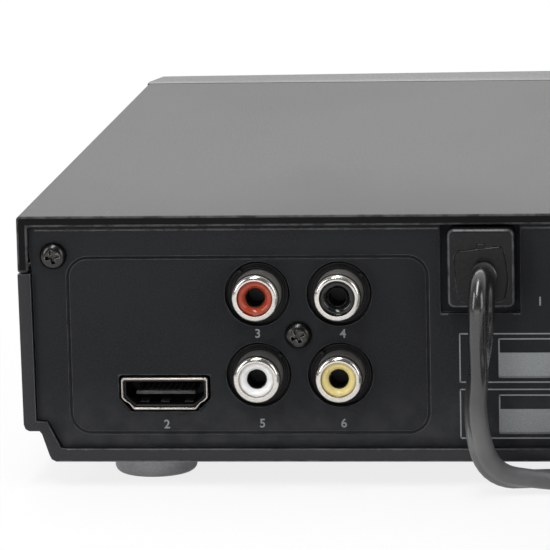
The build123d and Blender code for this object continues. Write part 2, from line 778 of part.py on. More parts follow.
def traverse_frame():
    x0, x1 = spindle_x - 38, spindle_x + 42
    front, rear = plate_front_y, plate_rear_y
    below, above = plate_low_z - 1, plate_top_z + 1
    window_y = spindle_y + 11
    plate = block(x0, x1, front, rear, plate_low_z, plate_top_z)
    plate = plate - block(spindle_x - 29.5, spindle_x + 35, window_y, lug_rear_y - 0.5, below, above)
    plate = plate + block(spindle_x + 28, spindle_x + 41, window_y, feed_rear_y + 2.2, plate_low_z,
                          plate_top_z)
    cut = feed_radius + 0.3
    plate = plate - block(screw_x - cut, screw_x + cut, feed_front_y - 0.5, feed_rear_y + 0.2, below, above)
    for edge in (x0, x1 - 2):
        plate = plate + block(edge, edge + 2, front, rear, plate_low_z - 3, plate_low_z + 0.5)
    plate = plate + block(x0, x1, front, front + 2, plate_low_z - 3, plate_low_z + 0.5)
    plate = plate - post(spindle_x, spindle_y, plate_low_z - 1, plate_top_z + 1, 6.0)
    for s in (-1, 1):
        x = spindle_x + s * rod_offset
        for y in (rod_front_y, lug_rear_y):
            lug = block(x - 3, x + 3, y, y + 5, plate_top_z - 0.5, rod_z + 2.5)
            plate = plate + (lug - bar_y(x, rod_z, y - 1, y + 6, rod_radius))
    nose = block(screw_x - 3.5, screw_x + 3.5, lug_rear_y, lug_rear_y + 3.5, screw_z - 3.2, plate_low_z + 0.5)
    plate = plate + (nose - bar_y(screw_x, screw_z, lug_rear_y - 1, lug_rear_y + 5, rod_radius + running))
    left_ear = spindle_x + window_left + 2.5
    right_ear = spindle_x + window_right - 2.5
    plate = plate + bar_x(pivot_y, pivot_z, left_ear - 4.2, x0 + 1, 2.0)
    plate = plate + bar_x(pivot_y, pivot_z, x1 - 1, right_ear + 4.2, 2.0)
    plate = plate + block(spindle_x - 3, spindle_x + 3, front - 1, front + 1.5, cam_pin_z - 3,
                          plate_low_z + 0.5)
    plate = plate + bar_y(spindle_x, cam_pin_z, cam_y - 2.1, front - 0.5, 1.5)
    return plate


def spindle_motor():
    can = post(spindle_x, spindle_y, plate_low_z - 5.2, plate_low_z, 11.4)
    can = fillet(can.edges().group_by(Axis.Z)[0], 0.8)
    boss = post(spindle_x, spindle_y, plate_low_z - 0.5, plate_top_z + 0.2, 5.0)
    flex = block(spindle_x - 12, spindle_x + 12, spindle_y - 17, spindle_y - 8, plate_low_z - 0.8,
                 plate_low_z)
    bore = post(spindle_x, spindle_y, plate_low_z - 3.6, plate_top_z + 1, axle_radius + running)
    return (can + boss + flex) - bore


def turntable():
    shaft = post(spindle_x, spindle_y, plate_low_z - 3.3, hub_top_z - 1, axle_radius)
    rotor = post(spindle_x, spindle_y, plate_top_z + 0.6, play_z - 2.4, 10.0)
    rotor = fillet(rotor.edges().group_by(Axis.Z)[-1], 0.6)
    table = post(spindle_x, spindle_y, play_z - 2.5, play_z, turntable_radius)
    relief = post(spindle_x, spindle_y, play_z - 0.4, play_z + 1, 10.0)
    cone_high = hub_top_z - play_z + 0.4
    cone = Pos(spindle_x, spindle_y, hub_top_z - cone_high / 2) * Cone(7.4, 6.2, cone_high)
    return shaft + rotor + (table - relief) + cone


def guide_rods():
    return [bar_y(spindle_x + s * rod_offset, rod_z, rod_front_y, rod_rear_y, rod_radius) for s in (-1, 1)]


sled_front = spindle_y + lens_inner - 10.5
sled_back = sled_front + 24.0
lens_y = spindle_y + lens_inner
sled_top_z = plate_top_z + 4.0


def pickup_sled():
    body = block(spindle_x - 19, spindle_x + 19, sled_front, sled_back, plate_low_z - 2.0, sled_top_z)
    body = fillet(body.edges().filter_by(Axis.Z), 2.5)
    dome = post(spindle_x, lens_y, sled_top_z - 0.5, sled_top_z + 2.2, 9.5)
    body = body + dome
    body = body - post(spindle_x, lens_y, sled_top_z + 0.6, sled_top_z + 3, 7.2)
    for s, first in ((-1, 1.5), (1, 7.5)):
        x = spindle_x + s * rod_offset
        for y in (sled_front + first, sled_back - 5):
            arm = block(spindle_x + s * 17, x + s * 3.2, y, y + 5, rod_z - 2.7, rod_z + 2.2)
            body = body + arm
    for s in (-1, 1):
        x = spindle_x + s * rod_offset
        body = body - bar_y(x, rod_z, sled_front - 1, sled_back + 1, rod_radius + running)
    nut = block(spindle_x + 17, screw_x + 3.0, sled_front + 10, sled_front + 15, screw_z - 2.8, screw_z + 2.2)
    body = body + nut
    return body - bar_y(screw_x, screw_z, sled_front, sled_back, rod_radius + running)


def objective_lens():
    lens_top = play_z - lens_gap
    holder = slab_z(spindle_x - 4.4, spindle_x + 4.4, lens_y - 4.4, lens_y + 4.4, lens_top - 2.9,
                    lens_top - 1.2, 1.2)
    ball = Pos(spindle_x, lens_y, lens_top - 5.2) * Sphere(5.2)
    return holder + (ball & post(spindle_x, lens_y, lens_top - 1.4, lens_top + 1, 2.4))


def lead_screw():
    return bar_y(screw_x, screw_z, feed_rear_y - 0.8, lug_rear_y + 3.2, rod_radius)


def feed_motor():
    can = bar_y(screw_x, screw_z, feed_front_y, feed_rear_y, feed_radius)
    can = fillet(can.edges().group_by(Axis.Y)[0], 0.8)
    flange = block(screw_x - 5, screw_x + 5, feed_rear_y - 0.1, feed_rear_y + 1.2, screw_z - 5, plate_low_z)
    return (can + flange) - bar_y(screw_x, screw_z, feed_rear_y - 1.8, feed_rear_y + 5, rod_radius + running)


# Boards and what stands on them

def main_board():
    y1 = panel_back_y - board_rear_gap
    board = block(main_left, main_right, main_front_y, y1, board_top_z - board_thick, board_top_z)
    for x, y in boss_places()[:3]:
        board = board - post(x, y, board_top_z - 3, board_top_z + 1, 1.6)
    return board


def board_chips():
    z = board_top_z
    x, y = main_left, main_front_y
    chips = [slab_z(x + 24, x + 44, y + 32, y + 52, z, z + 1.4, 0.5),
             slab_z(x + 26, x + 37, y + 14, y + 24, z, z + 1.2, 0.4),
             slab_z(x + 48, x + 56, y + 32, y + 38, z, z + 1.3, 0.4)]
    spots = ((8, 58), (15, 58), (54, 54), (54, 22))
    return chips + [post(x + dx, y + dy, z, z + 8.0, 2.6) for dx, dy in spots]


def board_sockets():
    z = board_top_z
    x, y = main_left, main_front_y
    ribbon_seat = block(x + 2, x + 7, y + 12, y + 38, z, z + 5.0)
    power_seat = block(x + 2, x + 8, y + 44, y + 54, z, z + 6.0)
    front_seat = block(x + 18, x + 46, y + 1, y + 5, z, z + 4.0)
    return [ribbon_seat, power_seat, front_seat]


def power_board():
    y1 = panel_back_y - board_rear_gap
    board = block(power_left, power_right, power_front_y, y1, board_top_z - board_thick, board_top_z)
    for x, y in boss_places()[3:]:
        board = board - post(x, y, board_top_z - 3, board_top_z + 1, 1.6)
    return board


def power_parts():
    z = board_top_z
    mid = (power_front_y + panel_back_y) / 2
    x = power_left
    core = block(x + 42, x + 60, mid - 9, mid + 9, z, z + 15)
    coil = slab_z(x + 40, x + 62, mid - 6.5, mid + 6.5, z + 2.5, z + 12.5, 3.0)
    fuse = block(x + 86, x + 94, mid - 2.5, mid + 2.5, z, z + 8)
    choke = block(x + 68, x + 80, mid - 6, mid + 6, z, z + 13)
    sink = block(x + 16, x + 33, mid + 4, mid + 6, z, z + 16)
    return [core + coil, fuse, choke, sink]


def power_capacitors():
    z = board_top_z
    mid = (power_front_y + panel_back_y) / 2
    x = power_left
    sizes = ((24, -4, 5.0, 16), (35, -7, 3.5, 11), (12, 1, 3.5, 11))
    cans = [post(x + dx, mid + dy, z, z + tall, radius) for dx, dy, radius, tall in sizes]
    return [fillet(c.edges().group_by(Axis.Z)[-1], 0.5) for c in cans]


def front_board():
    y0 = front_board_y - 1.6
    return block(half_width - 73.5, half_width - 4.5, y0, front_board_y, base_z + 5.0, base_z + 39.5)


def display_module():
    x0, x1, z0, z1 = window_box
    y1 = front_board_y - 1.6
    return block(x0 + 3, x1 - 3, front_face_y(x1) + 3.4, y1, z0 + 1.0, z1 - 1.0)


def remote_eye():
    y1 = front_board_y - 1.6
    y0 = front_face_y(eye_x) + 2.6
    can = block(eye_x - 2.6, eye_x + 2.6, y0 + 2, y1, eye_z - 3, eye_z + 3)
    return can + bar_y(eye_x, eye_z, y0 + 0.5, y0 + 2.5, 1.9)


def eye_window():
    y0 = front_face_y(eye_x)
    return bar_y(eye_x, eye_z, y0 + 0.1, y0 + 2.4, eye_radius)


# Sockets at the rear

def socket_block():
    """Black housing that holds the four coaxial sockets."""
    xs = [x for x, z in jack_places()]
    zs = [z for x, z in jack_places()]
    y1 = panel_back_y - 0.3
    box = block(min(xs) - 7.0, max(xs) + 7.0, y1 - 12.0, y1, board_top_z, max(zs) + 6.6)
    for x, z in jack_places():
        box = box + bar_y(x, z, y1 - 0.5, panel_face_y - 0.2, 5.3)
        box = box - bar_y(x, z, y1 - 9.0, panel_face_y + 5, jack_shell_radius + 0.02)
    screw = rear_screw_places()[1]
    return box - bar_y(screw[0], screw[1], y1 - 6, y1 + 1, 1.22)


def socket_barrels():
    """Plated outer contacts with a rolled lip."""
    out = []
    back = panel_back_y - 0.3 - 8.0
    for x, z in jack_places():
        tube = bar_y(x, z, back, rear_y + jack_proud, jack_shell_radius)
        tip = tube.edges().filter_by(GeomType.CIRCLE).group_by(Axis.Y)[-1]
        tube = fillet(tip, 0.4)
        out.append(tube - bar_y(x, z, back - 1, rear_y + jack_proud + 1, jack_core_radius + 0.02))
    return out


def socket_core(index):
    """Coloured insulator with the centre contact's bore."""
    x, z = jack_places()[index]
    back = panel_back_y - 0.3 - 8.0
    face = rear_y + jack_proud - 0.5
    core = bar_y(x, z, back, face, jack_core_radius)
    lip = core.edges().filter_by(GeomType.CIRCLE).group_by(Axis.Y)[-1]
    core = fillet(lip, 0.9)
    return core - bar_y(x, z, face - jack_bore_length, face + 1, jack_bore_radius)


def video_socket():
    y1 = rear_y - 0.2
    y0 = y1 - video_depth
    shell = prism_y(video_outline(0.0), y0, y1) - prism_y(video_outline(-video_wall), y0 + 0.8, y1 + 1)
    legs = block(side(video_left) - 1, side(video_right) + 1, y0, y0 + 5, board_top_z,
                 base_z + video_low + 0.2)
    return shell + legs


def video_tongue():
    x = (side(video_left) + side(video_right)) / 2
    y1 = rear_y - 1.6
    z = base_z + video_low + 3.3
    y0 = rear_y - 0.2 - video_depth + 0.8
    return block(x - 5.6, x + 5.6, y0, y1, z - 0.55, z + 0.55)


# Mains entry

def strain_relief():
    x0, x1 = side(relief_right), side(relief_left)
    z0, z1 = relief_low_z, relief_top_z
    y0 = panel_face_y - entry_pocket
    y1 = rear_y + relief_proud
    head = slab_y(x0, x1, z0, z1, y0 + 0.03, y1, 1.1)
    head = fillet(head.edges().group_by(Axis.Y)[-1], 0.45)
    neck = block(x0 + 1.35, x1 - 1.35, panel_back_y - 0.05, y0 + 0.5, z0 + 1.35, z1 - 1.0)
    inner = slab_y(x0, x1, z0, z1 - 0.3, panel_back_y - 2.4, panel_back_y - 0.04, 1.1)
    return head + neck + inner


cord_points = [
    (32.5, rear_y + relief_proud, 38.2),
    (32.5, rear_y + 12.4, 38.2),
    (32.6, rear_y + 12.0, 26.0),
    (33.9, rear_y + 9.0, 14.0),
    (31.4, rear_y + 5.8, 3.2),
    (22.0, rear_y + 3.2, 2.15),
    (8.0, rear_y + 4.6, 2.15),
    (-6.0, rear_y + 9.2, 2.15),
]


def rounded_route(points):
    """Straight runs joined by tangent arcs, each as large as its two runs allow."""
    p = [Vector(*q) for q in points]
    edges, radii = [], []
    here = p[0]
    for a, b, c in zip(p, p[1:], p[2:]):
        turn = (b - a).get_angle(c - b)
        reach = 0.45 * min((b - a).length, (c - b).length)
        radii.append(reach / math.tan(math.radians(turn / 2)))
        start = b - (b - a).normalized() * reach
        end = b + (c - b).normalized() * reach
        edges.append(Line(here, start))
        edges.append(TangentArc([start, end], tangent=(b - a)))
        here = end
    edges.append(Line(here, p[-1]))
    return Wire(edges), radii


def mains_cord():
    route, radii = rounded_route(cord_points)
    print("cord arcs mm:", [round(r, 1) for r in radii], "turns:", len(radii))
    start = Plane(origin=route @ 0, z_dir=route % 0)
    tube = sweep(start * Circle(cord_radius), path=route)
    want = math.pi * cord_radius ** 2 * route.length
    print("cord tube mm:", round(route.length, 1), "volume ratio:", round(tube.volume / want, 4))
    return tube


def cord_coil():
    spread = cord_width * coil_columns / 2
    ring = post(coil_x, coil_y, 0.0, coil_height, coil_turn_radius + spread)
    ring = ring - post(coil_x, coil_y, -1, coil_height + 1, coil_turn_radius - spread)
    edges = ring.edges().filter_by(GeomType.CIRCLE)
    return fillet(edges, 2.0)


plug_x = coil_x - 5.0
plug_y = coil_y - 18.0
plug_z = coil_height + 7.4


def mains_plug():
    body = slab_z(-17.7, 17.7, -12.0, 12.0, -7.0, 7.0, 6.0)
    tail = Pos(0, 17.5, 0) * Rot(90, 0, 0) * Cone(3.6, 5.6, 12.0)
    pins = [bar_y(s * 9.3, 0, -31.0, -11.5, 2.0) for s in (-1, 1)]
    body = fillet(body.edges().group_by(Axis.Z)[-1] + body.edges().group_by(Axis.Z)[0], 2.0)
    whole = body + tail
    for pin in pins:
        whole = whole + pin
    return Pos(plug_x, plug_y, plug_z) * Rot(0, 0, -90) * whole


def pickup_ribbon():
    wide0 = main_front_y + 14.0
    wide1 = wide0 + 20.0
    thin = 0.3
    low = base_z + floor_thick + 0.5
    x_in = spindle_x + 2.0
    x_out = main_left - 0.6
    flat = block(x_in, x_out, wide0 - 30, wide0 - 10, low, low + thin)
    rise = block(x_out - thin, x_out, wide0 - 30, wide1, low, board_top_z + 4.0)
    hook = block(x_out - thin, main_left + 2.0, wide0, wide1, board_top_z + 3.7, board_top_z + 4.0)
    stand = block(x_in, x_in + thin, wide0 - 30, wide0 - 10, low, deck_top_z + 6.0)
    return flat + rise + hook + stand


def mains_leads():
    x = (side(relief_left) + side(relief_right)) / 2
    y = panel_back_y - 2.4
    leads = []
    for s in (-1, 1):
        p0 = (x + s * 1.6, y, relief_low_z + 6)
        p1 = (x + s * 1.6, y - 6, relief_low_z + 6)
        p2 = (x + s * 1.6, y - 6, board_top_z)
        route = FilletPolyline(p0, p1, p2, radius=3.5)
        leads.append(sweep(Plane(origin=route @ 0, z_dir=route % 0) * Circle(0.9), path=route))
    return leads


def build():
    add("bottom_shell", bottom_shell())
    add("top_cover", top_cover())
    add("rear_panel", rear_panel())
    add("rear_screws", *rear_screws())
    add("feet", *[foot(x, y) for x, y in foot_places()])
    add("front_panel", front_panel())
    add("display_window", display_window())
    add("eye_window", eye_window())
    for name, x, z, wide, high in button_specs:
        add(name, button(x, z, wide, high))
    add("tact_switches", *[tact_switch(x, z) for name, x, z, wide, high in button_specs])
    add("usb_socket", usb_socket())
    add("front_board", front_board())
    add("display_module", display_module())
    add("remote_eye", remote_eye())
    add("disc_tray", disc_tray())
    add("tray_door", tray_door())
    add("loader_frame", loader_frame())
    add("loader_screws", *loader_screws())
    add("clamp_bridge", clamp_bridge())
    add("clamper", clamper())
    add("drive_gear", drive_gear())
    add("pulley_gear", pulley_gear())
    add("motor_pulley", motor_pulley())
    add("drive_belt", belt())
    add("loading_motor", loading_motor())
    add("cam_slider", cam_slider())
    add("traverse_frame", lowered(traverse_frame()))
    add("spindle_motor", lowered(spindle_motor()))
    add("turntable", lowered(turntable()))
    add("guide_rods", *[lowered(rod) for rod in guide_rods()])
    add("pickup_sled", lowered(pickup_sled()))
    add("objective_lens", lowered(objective_lens()))
    add("lead_screw", lowered(lead_screw()))
    add("feed_motor", lowered(feed_motor()))
    add("main_board", main_board())
    add("board_chips", *board_chips())
    add("board_sockets", *board_sockets())
    add("power_board", power_board())
    add("power_parts", *power_parts())
    add("power_capacitors", *power_capacitors())
    add("pickup_ribbon", pickup_ribbon())
    add("socket_block", socket_block())
    add("socket_barrels", *socket_barrels())
    for index, colour in enumerate(("red", "black", "white", "yellow")):
        add("socket_core_" + colour, socket_core(index))
    add("video_socket", video_socket())
    add("video_tongue", video_tongue())
    add("strain_relief", strain_relief())
    add("mains_leads", *mains_leads())
    add("mains_cord", mains_cord())
    add("cord_coil", cord_coil())
    add("mains_plug", mains_plug())


build()
os.makedirs("parts", exist_ok=True)
for name, shape in parts.items():
    export_step(shape, "parts/" + name + ".step")
print("pieces:", len(parts))
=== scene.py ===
import json
import math

import bmesh
import bpy
from mathutils import Matrix, Vector


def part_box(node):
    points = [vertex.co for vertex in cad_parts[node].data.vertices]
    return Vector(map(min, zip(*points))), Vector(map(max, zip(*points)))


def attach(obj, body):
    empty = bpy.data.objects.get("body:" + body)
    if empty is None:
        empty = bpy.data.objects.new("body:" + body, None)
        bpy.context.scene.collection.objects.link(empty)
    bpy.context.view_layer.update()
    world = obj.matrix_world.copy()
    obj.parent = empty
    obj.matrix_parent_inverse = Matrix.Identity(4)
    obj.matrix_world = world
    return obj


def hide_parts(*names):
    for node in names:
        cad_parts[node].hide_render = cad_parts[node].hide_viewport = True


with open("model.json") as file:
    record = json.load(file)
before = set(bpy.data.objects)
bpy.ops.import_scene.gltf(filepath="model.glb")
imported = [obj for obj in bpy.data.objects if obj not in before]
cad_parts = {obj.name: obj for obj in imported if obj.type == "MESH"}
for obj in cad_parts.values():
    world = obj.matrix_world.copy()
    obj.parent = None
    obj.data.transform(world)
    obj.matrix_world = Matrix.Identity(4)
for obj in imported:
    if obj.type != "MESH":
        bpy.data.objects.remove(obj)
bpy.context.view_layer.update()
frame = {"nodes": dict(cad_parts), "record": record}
nodes = frame["nodes"]
print("frame loaded:", len(nodes), "nodes")

mm = 0.001  # shapes are written in millimetres, cameras, lamps and textures in metres
scene = bpy.context.scene


# Picking, editing and settling pieces

def deselectAll():
    for thing in list(bpy.context.selected_objects):
        thing.select_set(False)


def pick(*pieces):
    deselectAll()
    for piece in pieces:
        piece.select_set(True)
    bpy.context.view_layer.objects.active = pieces[0]


def named(name):  # the piece that the last operator made
    piece = bpy.context.object
    piece.name = name
    return piece


def startEdit(piece):  # with all of it chosen
    pick(piece)
    bpy.ops.object.mode_set(mode="EDIT")
    bpy.ops.mesh.select_all(action="SELECT")


def endEdit():
    bpy.ops.object.mode_set(mode="OBJECT")


def choose(piece, kind, test):  # in edit mode; a face is tested by its normal, an edge by its two ends
    bpy.ops.mesh.select_mode(type=kind)
    bpy.ops.mesh.select_all(action="DESELECT")
    shape = bmesh.from_edit_mesh(piece.data)
    if kind == "FACE":
        chosen = [face for face in shape.faces if test(face.normal)]
    else:
        chosen = [edge for edge in shape.edges if test(edge.verts[0].co, edge.verts[1].co)]
    for part in chosen:
        part.select_set(True)
    bmesh.update_edit_mesh(piece.data)


def extrude(x, y, z):
    bpy.ops.mesh.extrude_region_move(TRANSFORM_OT_translate={"value": (x * mm, y * mm, z * mm)})


def drawIn(width):
    bpy.ops.mesh.inset(thickness=width * mm, depth=0)


def resize(value, middle):
    bpy.ops.transform.resize(value=value, center_override=[v * mm for v in middle])


def settle(piece, angle=32):  # place into the mesh, smooth round faces, keep corners
    pick(piece)
    bpy.ops.object.transform_apply(location=True, rotation=True, scale=True)
    bpy.ops.object.shade_smooth_by_angle(angle=math.radians(angle))
    return piece


def stood(piece, x, y, z, turn, axis):  # turned about its own middle, then moved
    piece.matrix_world = Matrix.Translation((x * mm, y * mm, z * mm)) @ Matrix.Rotation(turn, 4, axis)
    return settle(piece)


def finishShape(piece, angle=32):
    startEdit(piece)
    bpy.ops.mesh.remove_doubles(threshold=0.000002)
    bpy.ops.mesh.normals_make_consistent(inside=False)
    endEdit()
    return settle(piece, angle)


def applyModifier(piece, kind, **values):
    pick(piece)
    modifier = piece.modifiers.new(kind.lower(), kind)
    for key, value in values.items():
        setattr(modifier, key, value)
    bpy.ops.object.modifier_apply(modifier=modifier.name)


def joined(name, *pieces):
    pick(*pieces)
    bpy.ops.object.join()
    return named(name)


def placed(piece, slot, *replaced, finish=None, body="cabinet"):
    piece.data.materials.clear()
    piece.data.materials.append(finishes[finish or slot])
    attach(piece, body)
    if replaced:
        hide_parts(*replaced)
    return piece


# Starting shapes, with sizes in millimetres

def boxed(name, low, high, bevel=None):  # bevel is (width, segments)
    low, high = ([v * mm for v in corner] for corner in (low, high))
    deselectAll()
    bpy.ops.mesh.primitive_cube_add(size=1, location=[(a + b) / 2 for a, b in zip(low, high)])
    piece = named(name)
    piece.scale = [b - a for a, b in zip(low, high)]
    bpy.ops.object.transform_apply(location=True, rotation=True, scale=True)
    if bevel:
        applyModifier(piece, "BEVEL", width=bevel[0] * mm, segments=bevel[1], limit_method="ANGLE")
    return piece


axes = {"X": (Vector((1, 0, 0)), (0, math.pi / 2, 0)), "Y": (Vector((0, 1, 0)), (-math.pi / 2, 0, 0))}


def turned(name, place, profile, along="Y", sides=64, angle=32):
    # grown ring by ring from a filled circle; profile is (radius, distance along the axis)
    axis, turn = axes[along]
    place = Vector([v * mm for v in place])
    profile = [(radius * mm, far * mm) for radius, far in profile]
    radius, far = profile[0]
    deselectAll()
    bpy.ops.mesh.primitive_circle_add(vertices=sides, radius=radius, fill_type="NGON",
                                      location=place + axis * far, rotation=turn)
    piece = named(name)
    startEdit(piece)
    for nextRadius, nextFar in profile[1:]:
        step = axis * (nextFar - far)
        bpy.ops.mesh.extrude_region_move(TRANSFORM_OT_translate={"value": step})
        grow = nextRadius / radius
        bpy.ops.transform.resize(value=(grow, grow, grow), center_override=place + axis * nextFar)
        radius, far = nextRadius, nextFar
    endEdit()
    return finishShape(piece, angle)


def outlined(name, points, near, steps, angle=32):
    # a filled outline of (x, z) points, grown along +Y; steps are (y, how far it is drawn in)
    deselectAll()
    bpy.ops.mesh.primitive_circle_add(vertices=len(points), radius=0.01, fill_type="NGON")
    piece = named(name)
    for spot, (x, z) in zip(piece.data.vertices, points):
        spot.co = (x * mm, near * mm, z * mm)
    startEdit(piece)
    for far, inset in steps:
        if inset:
            drawIn(inset)
            bpy.ops.transform.translate(value=(0, (far - near) * mm, 0))
        else:
            extrude(0, far - near, 0)
        near = far
    endEdit()
    return finishShape(piece, angle)


def skinned(name, rings, capped=True):  # a skin over rings of equal counts, in metres
    shape = bmesh.new()
    rings = [[shape.verts.new(spot) for spot in ring] for ring in rings]
    for first, second in zip(rings, rings[1:]):
        for k in range(len(first)):
            n = (k + 1) % len(first)
            shape.faces.new((first[k], first[n], second[n], second[k]))
    if capped:
        shape.faces.new(list(reversed(rings[0])))
        shape.faces.new(rings[-1])
    bmesh.ops.recalc_face_normals(shape, faces=shape.faces)
    mesh = bpy.data.meshes.new(name)
    shape.to_mesh(mesh)
    shape.free()
    piece = bpy.data.objects.new(name, mesh)
    scene.collection.objects.link(piece)
    return piece


def arc(middle, radius, start, end, steps):  # points of a profile's round stretch, angles in degrees
    points = []
    for k in range(steps + 1):
        a = math.radians(start + (end - start) * k / steps)
        points.append((middle[0] + radius * math.cos(a), middle[1] + radius * math.sin(a)))
    return points


def roundedOutline(corners, radius, steps=5):  # (x, z) corners, each turned by its own or one radius
    points = []
    count = len(corners)
    for k, corner in enumerate(corners):
        bend = radius[k] if isinstance(radius, list) else radius
        here, before, after = Vector(corner), Vector(corners[k - 1]), Vector(corners[(k + 1) % count])
        inward, outward = (before - here).normalized(), (after - here).normalized()
        turn = math.pi - inward.angle(outward)
        reach = bend * math.tan(turn / 2)
        start, end = here + inward * reach, here + outward * reach
        middle = here + (inward + outward).normalized() * bend / math.cos(turn / 2)
        for j in range(steps + 1):
            way = (start - middle).lerp(end - middle, j / steps).normalized() * bend
            points.append(tuple(middle + way))
    return points


def markEdges(piece, test):  # an edge painted lighter, by this attribute of its faces: partly wear, partly painted highlight where a rounded edge catches the light
    mesh = piece.data
    marks = [1.0 if test(face) else 0.0 for face in mesh.polygons]
    mesh.attributes.new("edge", "FLOAT", "FACE").data.foreach_set("value", marks)
    for face in mesh.polygons:
        face.material_index = 0


softFacts = {"doubles": 0.004, "flat": 1.0, "corner": 28, "smooth": 30}


def softened(nodeName, name, width, segments):
    # a copy of a CAD node's shape with its doubles merged, its flats whole and its edges rounded
    source = nodes[nodeName]
    piece = source.copy()
    piece.data = source.data.copy()
    for key in list(piece.keys()):
        del piece[key]
    piece.parent = None
    piece.name = name
    scene.collection.objects.link(piece)
    startEdit(piece)
    bpy.ops.mesh.remove_doubles(threshold=softFacts["doubles"] * mm)
    bpy.ops.mesh.dissolve_limited(angle_limit=math.radians(softFacts["flat"]))
    endEdit()
    piece.data.materials.clear()
    for _ in range(2):  # the second slot marks the rounded edges
        piece.data.materials.append(None)
    applyModifier(piece, "BEVEL", width=width * mm, segments=segments, limit_method="ANGLE", material=1,
                  angle_limit=math.radians(softFacts["corner"]), use_clamp_overlap=True)
    # the rounded edges are painted paler: partly wear, partly painted highlight where they catch the light
    markEdges(piece, lambda face: face.material_index == 1)
    pick(piece)
    bpy.ops.object.shade_smooth_by_angle(angle=math.radians(softFacts["smooth"]))
    return piece


# Camera, as the photograph was taken

cameraFacts = {
    "place": (0.00234, 0.76374, 0.15436), "yaw": 0.098034, "pitch": 0.173095, "roll": -0.021498,
    "lens": 260.12, "sensor": 36.0, "near": 0.02, "far": 60}


def setCamera():
    data = bpy.data.cameras.new("rearView")
    data.lens = cameraFacts["lens"]
    data.sensor_width = cameraFacts["sensor"]
    data.sensor_fit = "HORIZONTAL"
    data.clip_start = cameraFacts["near"]
    data.clip_end = cameraFacts["far"]
    camera = bpy.data.objects.new("rearView", data)
    scene.collection.objects.link(camera)
    yaw, pitch, roll = (cameraFacts[k] for k in ("yaw", "pitch", "roll"))
    level = Vector((math.sin(yaw), -math.cos(yaw), 0))
    side = Vector((-math.cos(yaw), -math.sin(yaw), 0))
    up = Vector((0, 0, 1))
    ahead = level * math.cos(pitch) - up * math.sin(pitch)
    over = up * math.cos(pitch) + level * math.sin(pitch)
    right = side * math.cos(roll) + over * math.sin(roll)
    top = over * math.cos(roll) - side * math.sin(roll)
    turn = Matrix((right, top, -ahead)).transposed().to_4x4()
    camera.matrix_world = Matrix.Translation(cameraFacts["place"]) @ turn
    scene.camera = camera


setCamera()
print("camera set")


# Wiring of materials and of the groups that they share

class Wiring:  # a node tree being filled; an input takes a number, a colour or another node's output
    def __init__(self, tree):
        self.tree = tree

    def add(self, kind, inputs=None, **settings):
        made = self.tree.nodes.new(kind)
        for key, value in settings.items():
            setattr(made, key, value)
        for key, value in (inputs or {}).items():
            self.feed(made.inputs[key], value)
        return made

    def feed(self, socket, value):
        if isinstance(value, bpy.types.NodeSocket):
            self.tree.links.new(value, socket)
        else:
            socket.default_value = (*value, 1) if socket.type == "RGBA" else value

    def calc(self, how, a, b, clamp=False):
        return self.add("ShaderNodeMath", {0: a, 1: b}, operation=how, use_clamp=clamp).outputs[0]

    def times(self, a, b):
        return self.calc("MULTIPLY", a, b)

    def most(self, a, b):
        return self.calc("MAXIMUM", a, b)

    def ranged(self, value, *limits, smooth=True):  # limits are from low, from high, to low, to high
        inputs = dict(zip(("Value", "From Min", "From Max", "To Min", "To Max"), (value, *limits)))
        how = "SMOOTHSTEP" if smooth else "LINEAR"
        return self.add("ShaderNodeMapRange", inputs, interpolation_type=how).outputs["Result"]

    def mixed(self, mask, first, second):
        return self.add("ShaderNodeMix", {0: mask, 6: first, 7: second}, data_type="RGBA").outputs[2]

    def noise(self, vector, scale, detail, rough):
        inputs = {"Vector": vector, "Scale": scale, "Detail": detail, "Roughness": rough}
        return self.add("ShaderNodeTexNoise", inputs).outputs["Fac"]

    def stretched(self, vector, turn, scale):
        inputs = {"Vector": vector, "Rotation": turn, "Scale": scale}
        return self.add("ShaderNodeMapping", inputs).outputs["Vector"]

    def split(self, vector):
        return self.add("ShaderNodeSeparateXYZ", {"Vector": vector}).outputs


def newGroup(name, results, **inputs):
    tree = bpy.data.node_groups.new(name, "ShaderNodeTree")
    face = tree.interface
    face.new_socket(name="Vector", in_out="INPUT", socket_type="NodeSocketVector")
    for label, start in inputs.items():
        face.new_socket(name=label, in_out="INPUT", socket_type="NodeSocketFloat").default_value = start
    for label in results:
        face.new_socket(name=label, in_out="OUTPUT", socket_type="NodeSocketFloat")
    w = Wiring(tree)
    return w, w.add("NodeGroupInput").outputs, w.add("NodeGroupOutput").inputs


def makeFineGrain():  # pebbled plastic or paint: a height, and a value for its colour
    w, start, end = newGroup("fineGrain", ("Height", "Value"), Size=0.0003)
    scale = w.calc("DIVIDE", 1.0, start["Size"])
    small = w.noise(start["Vector"], scale, 2.0, 0.6)
    wide = w.noise(start["Vector"], w.times(scale, 0.23), 2.0, 0.5)
    w.feed(end["Height"], w.calc("ADD", w.times(small, 0.75), w.times(wide, 0.25)))
    w.feed(end["Value"], w.ranged(small, 0.35, 0.68, 0.0, 1.0))
    return w.tree


def makeEdgeRubAndLight():  # where corners are worn, and where they are painted lighter as a painted highlight, broken up by a noise
    w, start, end = newGroup("edgeRubAndLight", ("Mask",), Width=0.0003, Patch=0.0012, Amount=0.5)
    rounded = w.add("ShaderNodeBevel", {"Radius": start["Width"]}, samples=4).outputs["Normal"]
    flat = w.add("ShaderNodeNewGeometry").outputs["Normal"]
    dot = w.add("ShaderNodeVectorMath", {0: rounded, 1: flat}, operation="DOT_PRODUCT")
    sharp = w.ranged(w.calc("SUBTRACT", 1.0, dot.outputs["Value"]), 0.01, 0.16, 0.0, 1.0)
    patch = w.noise(start["Vector"], w.calc("DIVIDE", 1.0, start["Patch"]), 4.0, 0.7)
    broken = w.ranged(patch, 0.42, 0.66, 0.0, 1.0)
    w.feed(end["Mask"], w.calc("MULTIPLY", w.times(sharp, broken), start["Amount"], clamp=True))
    return w.tree


